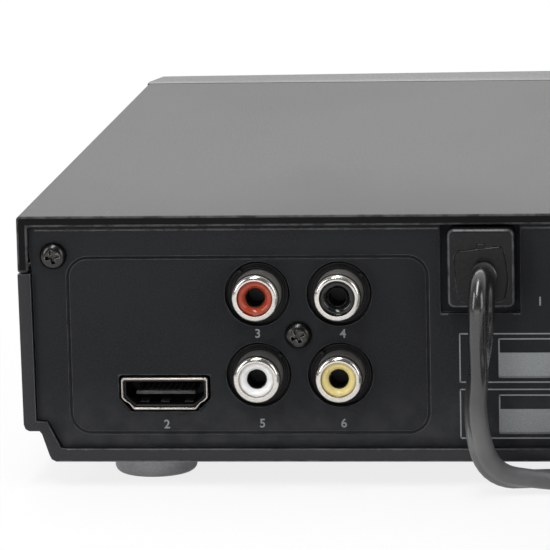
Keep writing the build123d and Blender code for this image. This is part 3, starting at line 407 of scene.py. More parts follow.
def makeDust():  # round specks, on a share of the cells of a scattered grid
    w, start, end = newGroup("dust", ("Mask",), Spacing=0.006, Speck=0.02, Share=0.3)
    scale = w.calc("DIVIDE", 1.0, start["Spacing"])
    cells = w.add("ShaderNodeTexVoronoi", {"Vector": start["Vector"], "Scale": scale}).outputs
    chance = w.add("ShaderNodeSeparateColor", {"Color": cells["Color"]}).outputs
    some = w.calc("LESS_THAN", chance["Red"], start["Share"])
    size = w.times(start["Speck"], w.calc("ADD", chance["Green"], 0.35))
    near = w.ranged(cells["Distance"], w.times(size, 0.45), size, 1.0, 0.0)
    w.feed(end["Mask"], w.times(near, some))
    return w.tree


def makeSmear():  # wide soft patches left by wiping and hands
    w, start, end = newGroup("smear", ("Mask",), Size=0.03)
    vector = w.stretched(start["Vector"], (0.2, 0.1, 0.6), (1.0, 0.45, 1.0))
    wide = w.noise(vector, w.calc("DIVIDE", 1.0, start["Size"]), 5.0, 0.55)
    w.feed(end["Mask"], w.ranged(wide, 0.36, 0.7, 0.0, 1.0))
    return w.tree


def makeScratches():  # fine hair lines, two ways across
    w, start, end = newGroup("scratches", ("Mask",), Length=0.01)
    made = []
    for turn, squeeze in (((0.3, 0.5, 0.5), 0.03), ((-0.4, 0.2, -0.9), 0.045)):
        vector = w.stretched(start["Vector"], turn, (squeeze, 1.0, 1.0))
        lines = w.noise(vector, w.calc("DIVIDE", 18.0, start["Length"]), 1.0, 0.55)
        made.append(w.ranged(lines, 0.69, 0.74, 0.0, 1.0))
    w.feed(end["Mask"], w.most(*made))
    return w.tree


groups = {
    "grain": makeFineGrain(), "rub": makeEdgeRubAndLight(), "dust": makeDust(), "smear": makeSmear(),
    "scratches": makeScratches()}


def shade(colour, times):
    return tuple(min(1.0, c * times) for c in colour)


class Finish(Wiring):  # one material, its colour laid on in layers, all on the piece's own coordinates
    def __init__(self, name, colour, **plain):
        self.material = bpy.data.materials.new(name)
        self.material.use_nodes = True
        super().__init__(self.material.node_tree)
        self.shader = next(n for n in self.tree.nodes if n.type == "BSDF_PRINCIPLED")
        self.place = self.add("ShaderNodeTexCoord").outputs["Object"]
        self.colour = colour
        for key, value in plain.items():
            self.give(key.replace("_", " "), value)

    def give(self, name, value):
        self.feed(self.shader.inputs[name], value)

    def fade(self, name, mask, outside, inside):
        self.give(name, self.ranged(mask, 0.0, 1.0, outside, inside, smooth=False))

    def use(self, key, **values):
        return self.add("ShaderNodeGroup", {"Vector": self.place, **values}, node_tree=groups[key]).outputs

    def dust(self, spacing, speck, share):
        return self.use("dust", Spacing=spacing, Speck=speck, Share=share)["Mask"]

    def smear(self, size):
        return self.use("smear", Size=size)["Mask"]

    def hairs(self, length):
        return self.use("scratches", Length=length)["Mask"]

    def along(self, axis, *limits):  # a mask that changes over a stretch of one axis
        return self.ranged(self.split(self.place)[axis], *limits)

    def worn(self, width, patch, amount, line):  # sharp corners, and the edges marked as rounded: a paler mask, partly wear and partly painted highlight
        rub = self.use("rub", Width=width, Patch=patch, Amount=amount)["Mask"]
        edge = self.add("ShaderNodeAttribute", attribute_name="edge").outputs["Fac"]
        patches = self.ranged(self.noise(self.place, 500.0, 3.0, 0.6), 0.3, 0.62, 0.25, 1.0)
        return self.most(rub, self.times(self.times(edge, patches), line))

    def start(self, size, dark, light):  # the grain that the first colour follows
        self.grain = self.use("grain", Size=size)
        self.tone = self.mixed(self.grain["Value"], shade(self.colour, dark), shade(self.colour, light))

    def lay(self, mask, colour, share=1):  # a colour, or the finish's own colour times a number
        if share != 1:
            mask = self.times(mask, share)
        if not isinstance(colour, tuple):
            colour = shade(self.colour, colour)
        self.tone = self.mixed(mask, self.tone, colour)

    def roughen(self, level, *layers):  # each layer is a mask and what it adds
        for mask, share in layers:
            level = self.calc("ADD", self.times(mask, share), level, clamp=True)
        self.give("Roughness", level)

    def done(self, *heights):  # each height with its depth in metres; they add up
        self.give("Base Color", self.tone)
        normal = None
        for height, depth in heights:
            inputs = {"Distance": depth, "Height": height, **({"Normal": normal} if normal else {})}
            normal = self.add("ShaderNodeBump", inputs).outputs["Normal"]
        if normal:
            self.give("Normal", normal)
        return self.material


# Finishes

def plasticFinish(name, colour, rough, size, deep, specular, rub, dust, pale, spread=0.25, line=0.5):
    made = Finish(name, colour, Specular_IOR_Level=specular)
    smear = made.smear(0.03)
    worn = made.worn(0.0003, 0.0014, rub, line)
    made.start(size * mm, 1 - spread, 1 + spread)
    made.lay(smear, 1.25, 0.25)
    # the paler edges: partly wear, partly painted highlight
    made.lay(worn, pale + 1.2)
    made.lay(made.dust(0.007, 0.03, dust), (0.32, 0.32, 0.31), 0.5)
    made.roughen(rough - 0.04, (made.grain["Value"], 0.08), (smear, 0.06), (worn, -0.12))
    return made.done((made.grain["Height"], deep * mm))


def metalFinish(name, colour, rough, size, pit, tint, share, bareAndGlint=None):
    made = Finish(name, colour, Metallic=1.0)
    smear = made.smear(0.008)
    specks = made.dust(0.0011, 0.16, share)
    made.start(size * mm, 0.86, 1.08)
    made.lay(specks, tint, 0.8)
    made.lay(smear, 0.78, 0.3)
    if bareAndGlint:
        # a paler colour at the edges: partly bare metal, partly a painted glint
        made.lay(made.worn(0.00025, 0.0005, 1.0, 1.0), bareAndGlint)
    made.roughen(rough, (smear, 0.12), (specks, 0.3), (made.hairs(0.01), 0.09))
    return made.done((made.grain["Height"], pit * mm), (specks, -pit * mm))


def boardFinish(name, mask, copper):  # solder resist over darker traces, with printed flecks
    made = Finish(name, mask, Roughness=0.35)
    inputs = {"Vector": made.place, "Scale": 160}
    cells = made.add("ShaderNodeTexVoronoi", inputs, feature="DISTANCE_TO_EDGE", distance="CHEBYCHEV")
    trace = made.ranged(cells.outputs["Distance"], 0.05, 0.09, 1.0, 0.0)
    pads = made.dust(0.004, 0.16, 0.5)
    made.start(0.0006, 0.85, 1.15)
    made.lay(trace, 1.6)
    made.lay(pads, copper)
    made.give("Metallic", made.times(pads, 0.8))
    return made.done((trace, 0.00003), (pads, 0.00004))


def glassFinish(name, colour, rough):
    made = Finish(name, colour, Transmission_Weight=0.85, IOR=1.49)
    smear = made.smear(0.02)
    made.tone = made.mixed(smear, colour, shade(colour, 1.3))
    made.roughen(rough, (smear, 0.06), (made.hairs(0.012), 0.15))
    return made.done()


def barrelPlating(name):  # bright at the lip, dusty down the sides
    made = Finish(name, (0.72, 0.69, 0.65))
    side = made.along("Y", 0.0993, 0.1001, 1.0, 0.0)
    smear = made.smear(0.006)
    flecks = made.dust(0.0007, 0.2, 0.55)
    spots = made.dust(0.0016, 0.1, 0.3)
    made.start(0.0003, 0.88, 1.06)
    made.lay(smear, 0.8, 0.3)
    made.lay(side, (0.12, 0.115, 0.11), 0.62)
    made.lay(made.times(flecks, side), (0.5, 0.47, 0.43))
    made.lay(spots, (0.28, 0.2, 0.15), 0.6)
    made.fade("Metallic", side, 1.0, 0.8)
    made.roughen(0.16, (side, 0.34), (smear, 0.1), (spots, 0.2))
    return made.done((made.grain["Height"], 0.000012), (flecks, 0.00001))


def coverPaint(name):  # pebbled paint, with painted shade darkening the flange behind the fold, and duller there
    made = Finish(name, (0.0115, 0.0115, 0.012))
    specks = made.dust(0.017, 0.013, 0.3)
    smear = made.smear(0.045)
    flange = made.along("Y", 0.0968, 0.09695, 0.0, 1.0)
    made.start(0.00028, 0.55, 1.6)
    made.lay(made.dust(0.0011, 0.17, 0.22), (0.13, 0.13, 0.13), 0.8)
    made.lay(smear, 1.5, 0.3)
    # painted shade: the flange behind the fold is darkened to half its tone
    made.lay(flange, 0.5)
    # paler edges: partly wear, partly a painted highlight along the rear top edge
    made.lay(made.worn(0.0005, 0.0006, 0.9, 0.7), (0.1, 0.1, 0.1))
    made.lay(specks, (0.6, 0.62, 0.6))
    made.fade("Specular IOR Level", flange, 0.24, 0.08)
    made.roughen(0.36, (made.grain["Value"], 0.1), (smear, 0.025), (specks, 0.4))
    return made.done((made.grain["Height"], 0.00005))


def panelPlastic(name):  # the rear wall, with pale patches along its foot
    made = Finish(name, (0.0092, 0.0104, 0.0124), Specular_IOR_Level=0.2)
    worn = made.worn(0.00022, 0.0012, 0.9, 0.75)
    foot = made.along("Z", 0.0085, 0.021, 1.0, 0.0)
    patches = made.ranged(made.noise(made.place, 260.0, 4.0, 0.65), 0.36, 0.66, 0.35, 1.0)
    made.start(0.00022, 0.6, 1.45)
    made.lay(made.smear(0.02), 1.35, 0.35)
    made.lay(made.dust(0.0035, 0.045, 0.35), (0.06, 0.062, 0.065), 0.35)
    made.lay(made.times(foot, patches), (0.026, 0.027, 0.0305))
    made.lay(made.dust(0.0085, 0.02, 0.6), (0.3, 0.3, 0.3), 0.7)
    # paler edges: partly wear, partly painted highlight where the moulded edges catch the light
    made.lay(worn, (0.11, 0.112, 0.115))
    made.roughen(0.46, (made.grain["Value"], 0.12), (worn, -0.12))
    return made.done((made.grain["Height"], 0.000022))


def cordVinyl(name):  # glossy, but pale low down as painted light, and pale near the mouth, partly scuffs and partly painted light
    made = Finish(name, (0.008, 0.008, 0.0086), Specular_IOR_Level=0.75, Coat_Roughness=0.12)
    smear = made.smear(0.012)
    # painted light: pale low down for the light the cord catches from above and off the floor; near the mouth,
    # scuffs together with painted light
    scuffAndPaintedLight = made.most(made.along("Z", 0.008, 0.024, 1.0, 0.0), made.along("Y", 0.1015, 0.1055, 0.6, 0.0))
    made.start(0.0006, 0.9, 1.12)
    made.lay(scuffAndPaintedLight, (0.125, 0.125, 0.129))
    made.lay(smear, 1.7, 0.4)
    made.lay(made.dust(0.006, 0.03, 0.3), (0.2, 0.2, 0.2), 0.4)
    made.fade("Coat Weight", scuffAndPaintedLight, 0.7, 0.0)
    made.roughen(0.17, (smear, 0.1), (scuffAndPaintedLight, 0.24), (made.grain["Value"], 0.03))
    return made.done((made.use("grain", Size=0.0022)["Height"], 0.00002))


def printInk(name):
    made = Finish(name, (0.255, 0.268, 0.272), Specular_IOR_Level=0.3)
    made.start(0.00016, 0.84, 1.14)
    made.lay(made.dust(0.0012, 0.1, 0.3), 0.5, 0.5)
    made.roughen(0.45, (made.grain["Value"], 0.15))
    return made.done((made.use("grain", Size=0.00022)["Height"], 0.00001))


# colour, roughness, grain's size and depth in mm, specular, rub, dust, pale, then spread and line; rub, pale
# and line set the paler edges, partly wear and partly painted highlight
plasticFacts = {
    # shell_plastic and relief_plastic paint their edges much paler: painted highlights, besides wear
    "shell_plastic": ((0.019, 0.0195, 0.0215), 0.48, 0.26, 0.03, 0.35, 0.8, 0.3, 5.0, 0.3, 1.0),
    "front_plastic": ((0.017, 0.0172, 0.018), 0.3, 0.6, 0.008, 0.5, 0.35, 0.15, 3.0),
    "key_plastic": ((0.03, 0.03, 0.032), 0.28, 0.5, 0.006, 0.5, 0.5, 0.1, 3.0),
    "dark_plastic": ((0.011, 0.011, 0.0115), 0.36, 0.5, 0.01, 0.45, 0.35, 0.1, 3.0),
    "relief_plastic": ((0.0064, 0.0067, 0.0072), 0.3, 0.6, 0.014, 0.24, 0.9, 0.8, 13.0, 0.5, 0.9),
    "plug_plastic": ((0.045, 0.045, 0.047), 0.38, 0.5, 0.02, 0.5, 0.5, 0.2, 3.0),
    "loader_plastic": ((0.028, 0.028, 0.03), 0.5, 0.6, 0.03, 0.4, 0.4, 0.2, 2.5),
    "tray_plastic": ((0.022, 0.022, 0.023), 0.42, 0.4, 0.02, 0.4, 0.4, 0.2, 2.5),
    "clamp_plastic": ((0.55, 0.55, 0.53), 0.4, 0.6, 0.01, 0.5, 0.1, 0.1, 0.2, 0.05),
    "gear_plastic": ((0.62, 0.61, 0.57), 0.42, 0.5, 0.01, 0.5, 0.1, 0.1, 0.2, 0.06),
    "tongue_plastic": ((0.05, 0.05, 0.052), 0.45, 0.3, 0.05, 0.5, 0.6, 0.8, 3.0, 0.6),
    "ribbon_plastic": ((0.5, 0.5, 0.52), 0.35, 0.8, 0.01, 0.5, 0.1, 0.1, 0.2, 0.08),
    "foot_rubber": ((0.46, 0.465, 0.48), 0.55, 0.5, 0.03, 0.35, 0.3, 0.3, 0.8, 0.1),
    "belt_rubber": ((0.018, 0.018, 0.018), 0.62, 0.4, 0.03, 0.3, 0.2, 0.2, 2.0),
    "core_red": ((0.37, 0.046, 0.017), 0.13, 0.7, 0.012, 0.5, 0.0, 0.25, 0.2, 0.07),
    "core_black": ((0.005, 0.005, 0.0054), 0.12, 0.7, 0.012, 0.5, 0.0, 0.25, 2.0, 0.15),
    "core_white": ((0.84, 0.84, 0.83), 0.13, 0.7, 0.012, 0.5, 0.0, 0.2, 0.1, 0.03),
    "core_yellow": ((0.72, 0.6, 0.24), 0.13, 0.7, 0.012, 0.5, 0.0, 0.25, 0.1, 0.05),
    # socket_dark is darker than dark_plastic: painted shade in the recessed collars, the bores, the digital
    # socket's lining and the cord's mouth
    "socket_dark": ((0.0035, 0.0035, 0.0038), 0.4, 0.4, 0.008, 0.3, 0.5, 0.12, 5.0)}

# colour, roughness, grain's size and pits in mm, specks' tint and share, a paler colour at the edges, partly
# bare metal and partly painted glint
metalFacts = {
    "black_steel": ((0.06, 0.059, 0.058), 0.2, 0.3, 0.02, (0.35, 0.34, 0.32), 0.25, (0.5, 0.49, 0.47)),
    "bright_steel": ((0.6, 0.6, 0.59), 0.28, 0.4, 0.006, 0.45, 0.15),
    "plated_shell": ((0.7, 0.67, 0.63), 0.15, 0.3, 0.014, (0.16, 0.105, 0.08), 0.3),
    "sled_metal": ((0.45, 0.45, 0.46), 0.4, 0.6, 0.01, 0.45, 0.1),
    "worn_nickel": ((0.6, 0.56, 0.52), 0.26, 0.25, 0.02, (0.2, 0.1, 0.06), 0.5)}

boardFacts = {
    "circuit_board": ((0.012, 0.09, 0.035), (0.62, 0.62, 0.6)),
    "board_brown": ((0.16, 0.085, 0.035), (0.6, 0.6, 0.58))}
glassFacts = {"smoked_window": ((0.03, 0.028, 0.03), 0.05), "lens_glass": ((0.55, 0.62, 0.8), 0.02)}
recipes = [
    (plasticFinish, plasticFacts), (metalFinish, metalFacts), (boardFinish, boardFacts),
    (glassFinish, glassFacts), (coverPaint, {"cover_paint": ()}), (panelPlastic, {"panel_plastic": ()}),
    (barrelPlating, {"barrel_plating": ()}), (cordVinyl, {"cord_vinyl": ()}), (printInk, {"print_ink": ()})]


def titled(key):
    first, *rest = key.split("_")
    return first + "".join(word.capitalize() for word in rest)


finishes = {key: make(titled(key), *facts) for make, table in recipes for key, facts in table.items()}
slotOf = {part["node"]: part["material_slot"] for part in frame["record"]["subparts"]}
print("finishes made:", len(finishes))


# The mains cord, its coil and its tie, with the route's points in millimetres

cordFacts = {
    "width": 5.2, "thick": 3.2, "groove": 0.12, "grooveReach": 0.5, "sleeve": 2.1, "fade": 9.0,
    "flatten": 0.7, "length": 1.5, "spacing": 1.1, "finish": 12, "smooth": 50,
    "exit": (32.0, 99.8, 37.8),
    "route": [(32.0, 98.4, 37.5), (32.0, 109.0, 38.9), (32.3, 109.0, 26.0), (33.9, 106.0, 14.0),
              (31.4, 102.8, 3.2), (22.0, 100.2, 2.15), (8.0, 101.6, 2.15), (-6.0, 106.2, 2.15)],
    "tail": [(6.6, 152.6, 10.9), (10.6, 143.6, 13.2), (10.8, 133.4, 15.6), (5.4, 125.4, 18.4),
             (-1.8, 124.0, 19.9), (-7.0, 124.0, 19.9)],
    "twist": [(0, -130), (14, -128), (28, -72), (42, -46), (55, -90)]}
coilFacts = {
    "middle": (-22.0, 142.0), "columns": (34.2, 29.0, 23.8), "layers": (2.15, 5.55, 8.95),
    "start": -83.0, "step": 22.5,
    "turns": [(0, 0, 0), (300, 0, 0), (360, 1, 0), (660, 1, 0), (720, 2, 0), (960, 2, 0), (1020, 2, 1),
              (1260, 2, 1), (1320, 1, 1), (1620, 1, 1), (1680, 0, 1), (1920, 0, 1), (1980, 0, 2),
              (2220, 0, 2), (2280, 1, 2), (2385, 1, 2)]}


def between(keys, at):  # the two keys round a place, and how far it is from one to the other, eased
    k = max(i for i, key in enumerate(keys[:-1]) if key[0] <= at)
    t = (at - keys[k][0]) / (keys[k + 1][0] - keys[k][0])
    return keys[k], keys[k + 1], t * t * (3 - 2 * t)


def coilPoints():  # clockwise from above: in along the bottom, out along the middle, once more on top
    middle, turns = coilFacts["middle"], coilFacts["turns"]
    inside = 0.75 + 0.25 * math.cos(math.radians(coilFacts["step"]))  # how far the spline cuts in
    points = []
    angle = 0.0
    while angle < turns[-1][0]:
        before, after, t = between(turns, angle)
        radius, height = (row[before[n]] * (1 - t) + row[after[n]] * t
                          for n, row in ((1, coilFacts["columns"]), (2, coilFacts["layers"])))
        way = math.radians(coilFacts["start"] - angle)
        points.append((middle[0] + radius / inside * math.cos(way),
                       middle[1] + radius / inside * math.sin(way), height))
        angle += coilFacts["step"]
    return points


def smoothLine(points):  # the points of a spline drawn by the given ones, in order
    curve = bpy.data.curves.new("cordLine", "CURVE")
    curve.dimensions = "3D"
    curve.resolution_u = cordFacts["finish"]
    line = curve.splines.new("NURBS")
    line.points.add(len(points) - 1)
    for spot, (x, y, z) in zip(line.points, points):
        spot.co = (x * mm, y * mm, z * mm, 1)
    line.order_u = 3
    line.use_endpoint_u = True
    thing = bpy.data.objects.new("cordLine", curve)
    scene.collection.objects.link(thing)
    mesh = bpy.data.meshes.new_from_object(thing)
    spots = [v.co.copy() for v in mesh.vertices]
    bpy.data.objects.remove(thing)
    bpy.data.meshes.remove(mesh)
    return spots


def evenly(points, step):
    kept = [points[0]]
    walked = 0.0
    for a, b in zip(points, points[1:]):
        gap = (b - a).length
        if gap < 1e-9:
            continue
        while walked + gap >= step:
            a = a.lerp(b, (step - walked) / gap)
            kept.append(a.copy())
            gap = (b - a).length
            walked = 0.0
        walked += gap
    if (points[-1] - kept[-1]).length > step * 0.3:
        kept.append(points[-1].copy())
    return kept


def wideWay(along, ahead):  # which way the flat cord's wide side points
    keys = cordFacts["twist"]
    if along >= keys[-1][0]:
        wide = Vector((0, 0, 1)).cross(ahead)  # lies flat
    else:
        before, after, t = between(keys, along)
        turn = math.radians(before[1] + (after[1] - before[1]) * t)
        across = ahead.cross(Vector((0, 1, 0)))
        across = across.normalized() if across.length > 0.05 else Vector((1, 0, 0))
        wide = across * math.cos(turn) + across.cross(ahead) * math.sin(turn)
    return (wide - ahead * wide.dot(ahead)).normalized()


def flatOutline():  # two cores under one skin: round sides, and a shallow groove down each face
    thick = cordFacts["thick"] / 2
    half = cordFacts["width"] / 2 - thick
    upper = arc((half, 0), thick, -90, 90, 12) + [(half * t, thick) for t in (0.66, 0.33, 0, -0.33, -0.66)]
    groove, reach = cordFacts["groove"], cordFacts["grooveReach"]
    return [(x, y - math.copysign(groove * math.exp(-(x / reach) ** 2), y))
            for x, y in upper + [(-x, -y) for x, y in upper]]


def makeCord():
    path = evenly(smoothLine(cordFacts["route"] + coilPoints() + cordFacts["tail"]), cordFacts["spacing"] * mm)
    outline = flatOutline()
    rings = []
    along = 0.0
    for k, middle in enumerate(path):
        if k:
            along += (middle - path[k - 1]).length / mm
        ahead = (path[min(k + 1, len(path) - 1)] - path[max(k - 1, 0)]).normalized()
        wide = wideWay(along, ahead)
        over = ahead.cross(wide)
        share = max(0.0, 1 - along / cordFacts["fade"]) ** cordFacts["flatten"]  # a round sleeve that flattens
        ring = []
        for x, y in outline:
            grow = (1 - share + cordFacts["sleeve"] / math.hypot(x, y) * share) * mm
            ring.append(middle + wide * x * grow + over * y * grow)
        rings.append(ring)
    lead = placed(skinned("mainsLead", rings), "cord_vinyl", "mains_cord", "cord_coil")
    return settle(lead, cordFacts["smooth"]), path


tieFacts = {
    "turn": 196.0, "low": (-8.05, 0.42), "high": (8.05, 10.85), "wide": 4.6, "thick": 0.42, "round": 2.4,
    "head": (5.2, 6.4, 1.6), "sunk": 0.3, "rim": 1.3, "slot": 0.8}


def makeTie():  # a strap round the bundle, with its head on top
    (left, low), (right, top) = tieFacts["low"], tieFacts["high"]
    half = tieFacts["wide"] / 2
    strap = boxed("coilTie", (left, -half, low), (right, half, top))
    startEdit(strap)
    choose(strap, "FACE", lambda normal: abs(normal.y) > 0.9)
    bpy.ops.mesh.delete(type="ONLY_FACE")
    choose(strap, "EDGE", lambda a, b: abs(a.y - b.y) > 0.001)
    bpy.ops.mesh.bevel(offset=tieFacts["round"] * mm, segments=6, affect="EDGES")
    endEdit()
    applyModifier(strap, "SOLIDIFY", thickness=tieFacts["thick"] * mm, offset=1.0)
    deep, wide, tall = tieFacts["head"]
    head = boxed("tieHead", (-deep / 2, -wide / 2, top - tieFacts["sunk"]), (deep / 2, wide / 2, top + tall))
    startEdit(head)
    choose(head, "FACE", lambda normal: normal.z > 0.9)
    drawIn(tieFacts["rim"])
    extrude(0, 0, -tieFacts["slot"])
    endEdit()
    applyModifier(head, "BEVEL", width=0.0004, segments=3, limit_method="ANGLE")
    strap = joined("coilTie", strap, head)
    startEdit(strap)
    bpy.ops.mesh.normals_make_consistent(inside=False)
    endEdit()
    way = math.radians(tieFacts["turn"])
    middle, ring = coilFacts["middle"], coilFacts["columns"][1]
    x, y = middle[0] + ring * math.cos(way), middle[1] + ring * math.sin(way)
    return placed(stood(strap, x, y, 0, way, "Z"), "plug_plastic")


# The two-pin plug, lying on the coil with its pins towards -X

plugFacts = {
    "middle": (124.0, 19.9), "front": -39.0, "first": 0.6, "back": -15.0, "tip": -58.0, "tail": -3.5,
    "sections": [(0.0, 17.65, 6.85), (9.0, 17.65, 6.85), (13.5, 13.65, 6.3705), (19.0, 13.0, 6.3705),
                 (22.5, 10.4, 5.48), (24.0, 6.2, 4.6)],  # how far back, half width, half thickness
    "corner": 3.4, "rim": 1.2, "proud": 0.4, "flat": 0.8,
    "grip": {"count": 4, "back": 10.5, "step": 2.1, "wide": 0.9, "half": 8.5, "up": 6.165, "deep": 0.5},
    "relief": [(5.2, -2.2), (5.1, 1.2)], "ribs": 4, "ribStep": 2.4,
    "rib": [(4.8, 0.3, 1.6), (3.9, 0.25, 1.8), (3.9, 0.25, 2.9), (4.7, 0.3, 3.1)],
    "neck": 3.4, "pinGap": 19.0, "pinRoot": 1.0,
    "pin": [(1.1, 0.0), (1.7, 0.4), (2.0, 1.2), (2.0, 9.0), (1.71, 9.2), (1.71, 9.6), (1.9, 9.9)]}


def makePlug():
    p = plugFacts
    y, z = p["middle"]
    front, back, ribStep = p["front"], p["back"], p["ribStep"]
    (_, half, deep), *sections = p["sections"]
    here = front + p["first"]
    body = boxed("plugBody", (front, y - half, z - deep), (here, y + half, z + deep))
    startEdit(body)
    for far, nextHalf, nextDeep in sections:
        choose(body, "FACE", lambda normal: normal.x > 0.9)
        extrude(front + far - here, 0, 0)
        here = front + far
        resize((1, nextHalf / half, nextDeep / deep), (here, y, z))
        half, deep = nextHalf, nextDeep
    choose(body, "EDGE", lambda a, b: abs(a.x - b.x) > 0.0003)
    bpy.ops.mesh.bevel(offset=p["corner"] * mm, segments=5, affect="EDGES")
    choose(body, "FACE", lambda normal: normal.x < -0.9)
    drawIn(p["rim"])
    extrude(-p["proud"], 0, 0)
    endEdit()
    finishShape(body, 40)
    grips = []
    grip = p["grip"]
    for k in range(grip["count"]):
        for way in (-1, 1):
            far, level = back - grip["back"] + k * grip["step"], z + way * grip["up"]
            grips.append(boxed("plugRib", (far, y - grip["half"], level - grip["deep"]),
                               (far + grip["wide"], y + grip["half"], level + grip["deep"]), (0.4, 3)))
    profile = [(radius, back + far) for radius, far in p["relief"]]
    profile += [(radius - k * less, back + far + k * ribStep)
                for k in range(p["ribs"]) for radius, less, far in p["rib"]]
    relief = turned("plugRelief", (0, y, z), profile + [(p["neck"], p["tail"])], along="X", sides=40)
    startEdit(relief)
    resize((1, 1, p["flat"]), (0, y, z))
    endEdit()
    body = settle(joined("plugBody", body, relief, *grips), 35)
    placed(body, "plug_plastic", "mains_plug")
    pin = [(radius, p["tip"] + far) for radius, far in p["pin"]] + [(p["pin"][-1][0], front + p["pinRoot"])]
    pins = joined("plugPins", *(turned("plugPin", (0, y + way * p["pinGap"] / 2, z), pin, along="X", sides=32)
                                for way in (-1, 1)))
    placed(settle(pins), "bright_steel")
    return [body, pins]


lead, leadPath = makeCord()
tie = makeTie()
plug = makePlug()
print("cord laid:", round(sum((b - a).length for a, b in zip(leadPath, leadPath[1:])), 3), "m")


# The four coaxial sockets: plated barrels with a rolled lip, coloured insulators, and near-black liners in the
# bores as painted shade

jackFacts = {
    "places": {"red": (71.15, 33.75), "black": (57.05, 33.75), "white": (71.15, 19.6),
               "yellow": (57.05, 19.6)},
    "barrel": [(4.12, 86.2), (4.12, 96.5), (4.0, 96.7), (4.0, 96.9), (4.12, 97.1),
               *arc((3.14, 100.02), 0.98, 0, 84, 10), (3.09, 100.97), (3.06, 100.8), (3.06, 87.2)],
    "insulator": [(3.04, 87.6), (3.04, 100.22), (2.98, 100.34), (2.84, 100.45), (2.7, 100.52),
                  (2.52, 100.54), (2.36, 100.49), (2.14, 100.31), (1.92, 100.08), (1.78, 99.88),
                  (1.72, 99.7), (1.72, 88.4)],
    "bore": [(1.71, 88.5), (1.71, 99.68), (1.64, 99.72), (1.57, 99.68), (1.57, 88.9)],
    "contact": [(1.25, 88.9), (1.25, 92.5), (1.1, 92.6), (0.95, 92.6), (0.95, 89.5)]}


def makeJacks():
    barrels, boreShades, contacts = [], [], []
    for colour, (x, z) in jackFacts["places"].items():
        place = (x, 0, z)
        barrels.append(turned("barrel", place, jackFacts["barrel"], sides=80, angle=40))
        ring = turned("insulator" + colour.capitalize(), place, jackFacts["insulator"], sides=72, angle=50)
        placed(ring, "core_" + colour, "socket_core_" + colour)
        # near-black liners down the bores: painted shade, so that the holes read black
        boreShades.append(turned("jackBoreShades", place, jackFacts["bore"], sides=48))
        contacts.append(turned("jackContacts", place, jackFacts["contact"], sides=32))
    placed(joined("jackBarrels", *barrels), "plated_shell", "socket_barrels", finish="barrel_plating")
    placed(joined("jackBoreShades", *boreShades), "dark_plastic", finish="socket_dark")
    placed(joined("jackContacts", *contacts), "plated_shell")


# The black housing behind the panel: its stepped collars show in the panel's four holes, finished darker than
# its plastic as painted shade in the holes

housingFacts = {
    "front": 93.8,
    "collar": [(5.3, 93.4), (5.3, 94.8), (5.2, 94.9), (5.08, 94.9), (5.02, 94.68), (4.92, 94.68),
               (4.86, 94.9), (4.8, 94.9), (4.74, 94.68), (4.64, 94.68), (4.58, 94.9), (4.3, 94.9),
               (4.2, 94.5)],
    "key": ((-0.35, 94.8, 4.4), (0.35, 95.6, 5.22)),
    "keyTurn": {"red": 128, "black": 40, "white": 42, "yellow": 130}}


def makeHousing():
    low, high = ([v / mm for v in corner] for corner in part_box("socket_block"))
    parts = [boxed("socketHousing", low, (high[0], housingFacts["front"], high[2]), (0.5, 3))]
    for colour, (x, z) in jackFacts["places"].items():
        parts.append(turned("socketCollar", (x, 0, z), housingFacts["collar"], sides=80, angle=30))
        key = boxed("socketKey", *housingFacts["key"], (0.12, 2))
        turn = math.radians(housingFacts["keyTurn"][colour]) - math.pi / 2
        parts.append(stood(key, x, 0, z, turn, "Y"))
    # finished darker than its black plastic: painted shade in the recessed collars
    placed(joined("socketHousing", *parts), "dark_plastic", "socket_block", finish="socket_dark")


# The digital socket: a folded plated shell, a near-black lining inside it as painted shade, its tongue,
# contacts and springs

videoFacts = {
    "left": 95.1, "right": 80.0, "low": 13.6, "high": 19.2, "front": 96.8, "back": 86.0, "wall": 0.4,
    "lip": 0.16, "lining": (0.01, 0.38, 0.7, 0.1),  # gap, thickness, how deep it starts, lip
    "tongue": (10.3, 0.64, 16.3, 94.7), "tongueBack": 87.6,
    "contacts": 10, "first": -4.5, "shift": 0.25, "contact": (0.14, 0.04, 88.5, 94.2), "proud": 0.01,
    "springs": (-3.9, 0.3, 3.9), "spring": (0.75, 0.1, 88.5, 93.5), "bow": 0.25}


def mirrored(left, right, side):  # an outline from its left side, each point drawn inward by its x
    return [(left - x, z) for x, z in side] + [(right + x, z) for x, z in reversed(side)]


def videoOutline(shrink=0.0):  # flat top, upright sides, lower corners drawn in by an S
    v = videoFacts
    top, low = v["high"] - shrink, v["low"] + shrink
    s = shrink * 0.35
    foot = low - shrink + s
    side = [(0, top), (0, foot + 2.15), (0.55, foot + 1.55), (1.25 - s, foot + 1.2), (2.15 - s, low)]
    bends = [0.45, 0.5, 0.3, 0.9, 0.6]
    bends = [max(0.05, b - shrink * 0.4) for b in bends + bends[::-1]]
    return roundedOutline(mirrored(v["left"] - shrink, v["right"] + shrink, side), bends, 4)


def shellOf(name, outer, inner, back, front, lip, capped=True):  # a wall between two outlines of equal counts
    def drawn(points, others, share=0.3):
        return [(x + (u - x) * share, z + (w - z) * share) for (x, z), (u, w) in zip(points, others)]

    rings = [(outer, back), (outer, front - lip), (drawn(outer, inner), front), (drawn(inner, outer), front),
             (inner, front - lip), (inner, back + lip * 2)]
    rings = [[(x * mm, y * mm, z * mm) for x, z in points] for points, y in rings]
    return settle(skinned(name, rings, capped))


rimFacts = {
    "hole": (95.55, 79.55, 13.15, 19.65), "face": 96.16, "back": 94.3, "lip": 0.12,
    "outer": (0.16, 15.5, 2.18, 0.3), "inner": (-0.06, 14.9, 2.05, 0.55)}


def holeOutline(grow, bend, slant, turn):  # the panel's hole: flat top, lower corners cut at a slant
    left, right, low, high = rimFacts["hole"]
    side = [(0, high + grow), (0, bend), (slant, low - grow)]
    return roundedOutline(mirrored(left + grow, right - grow, side), turn)


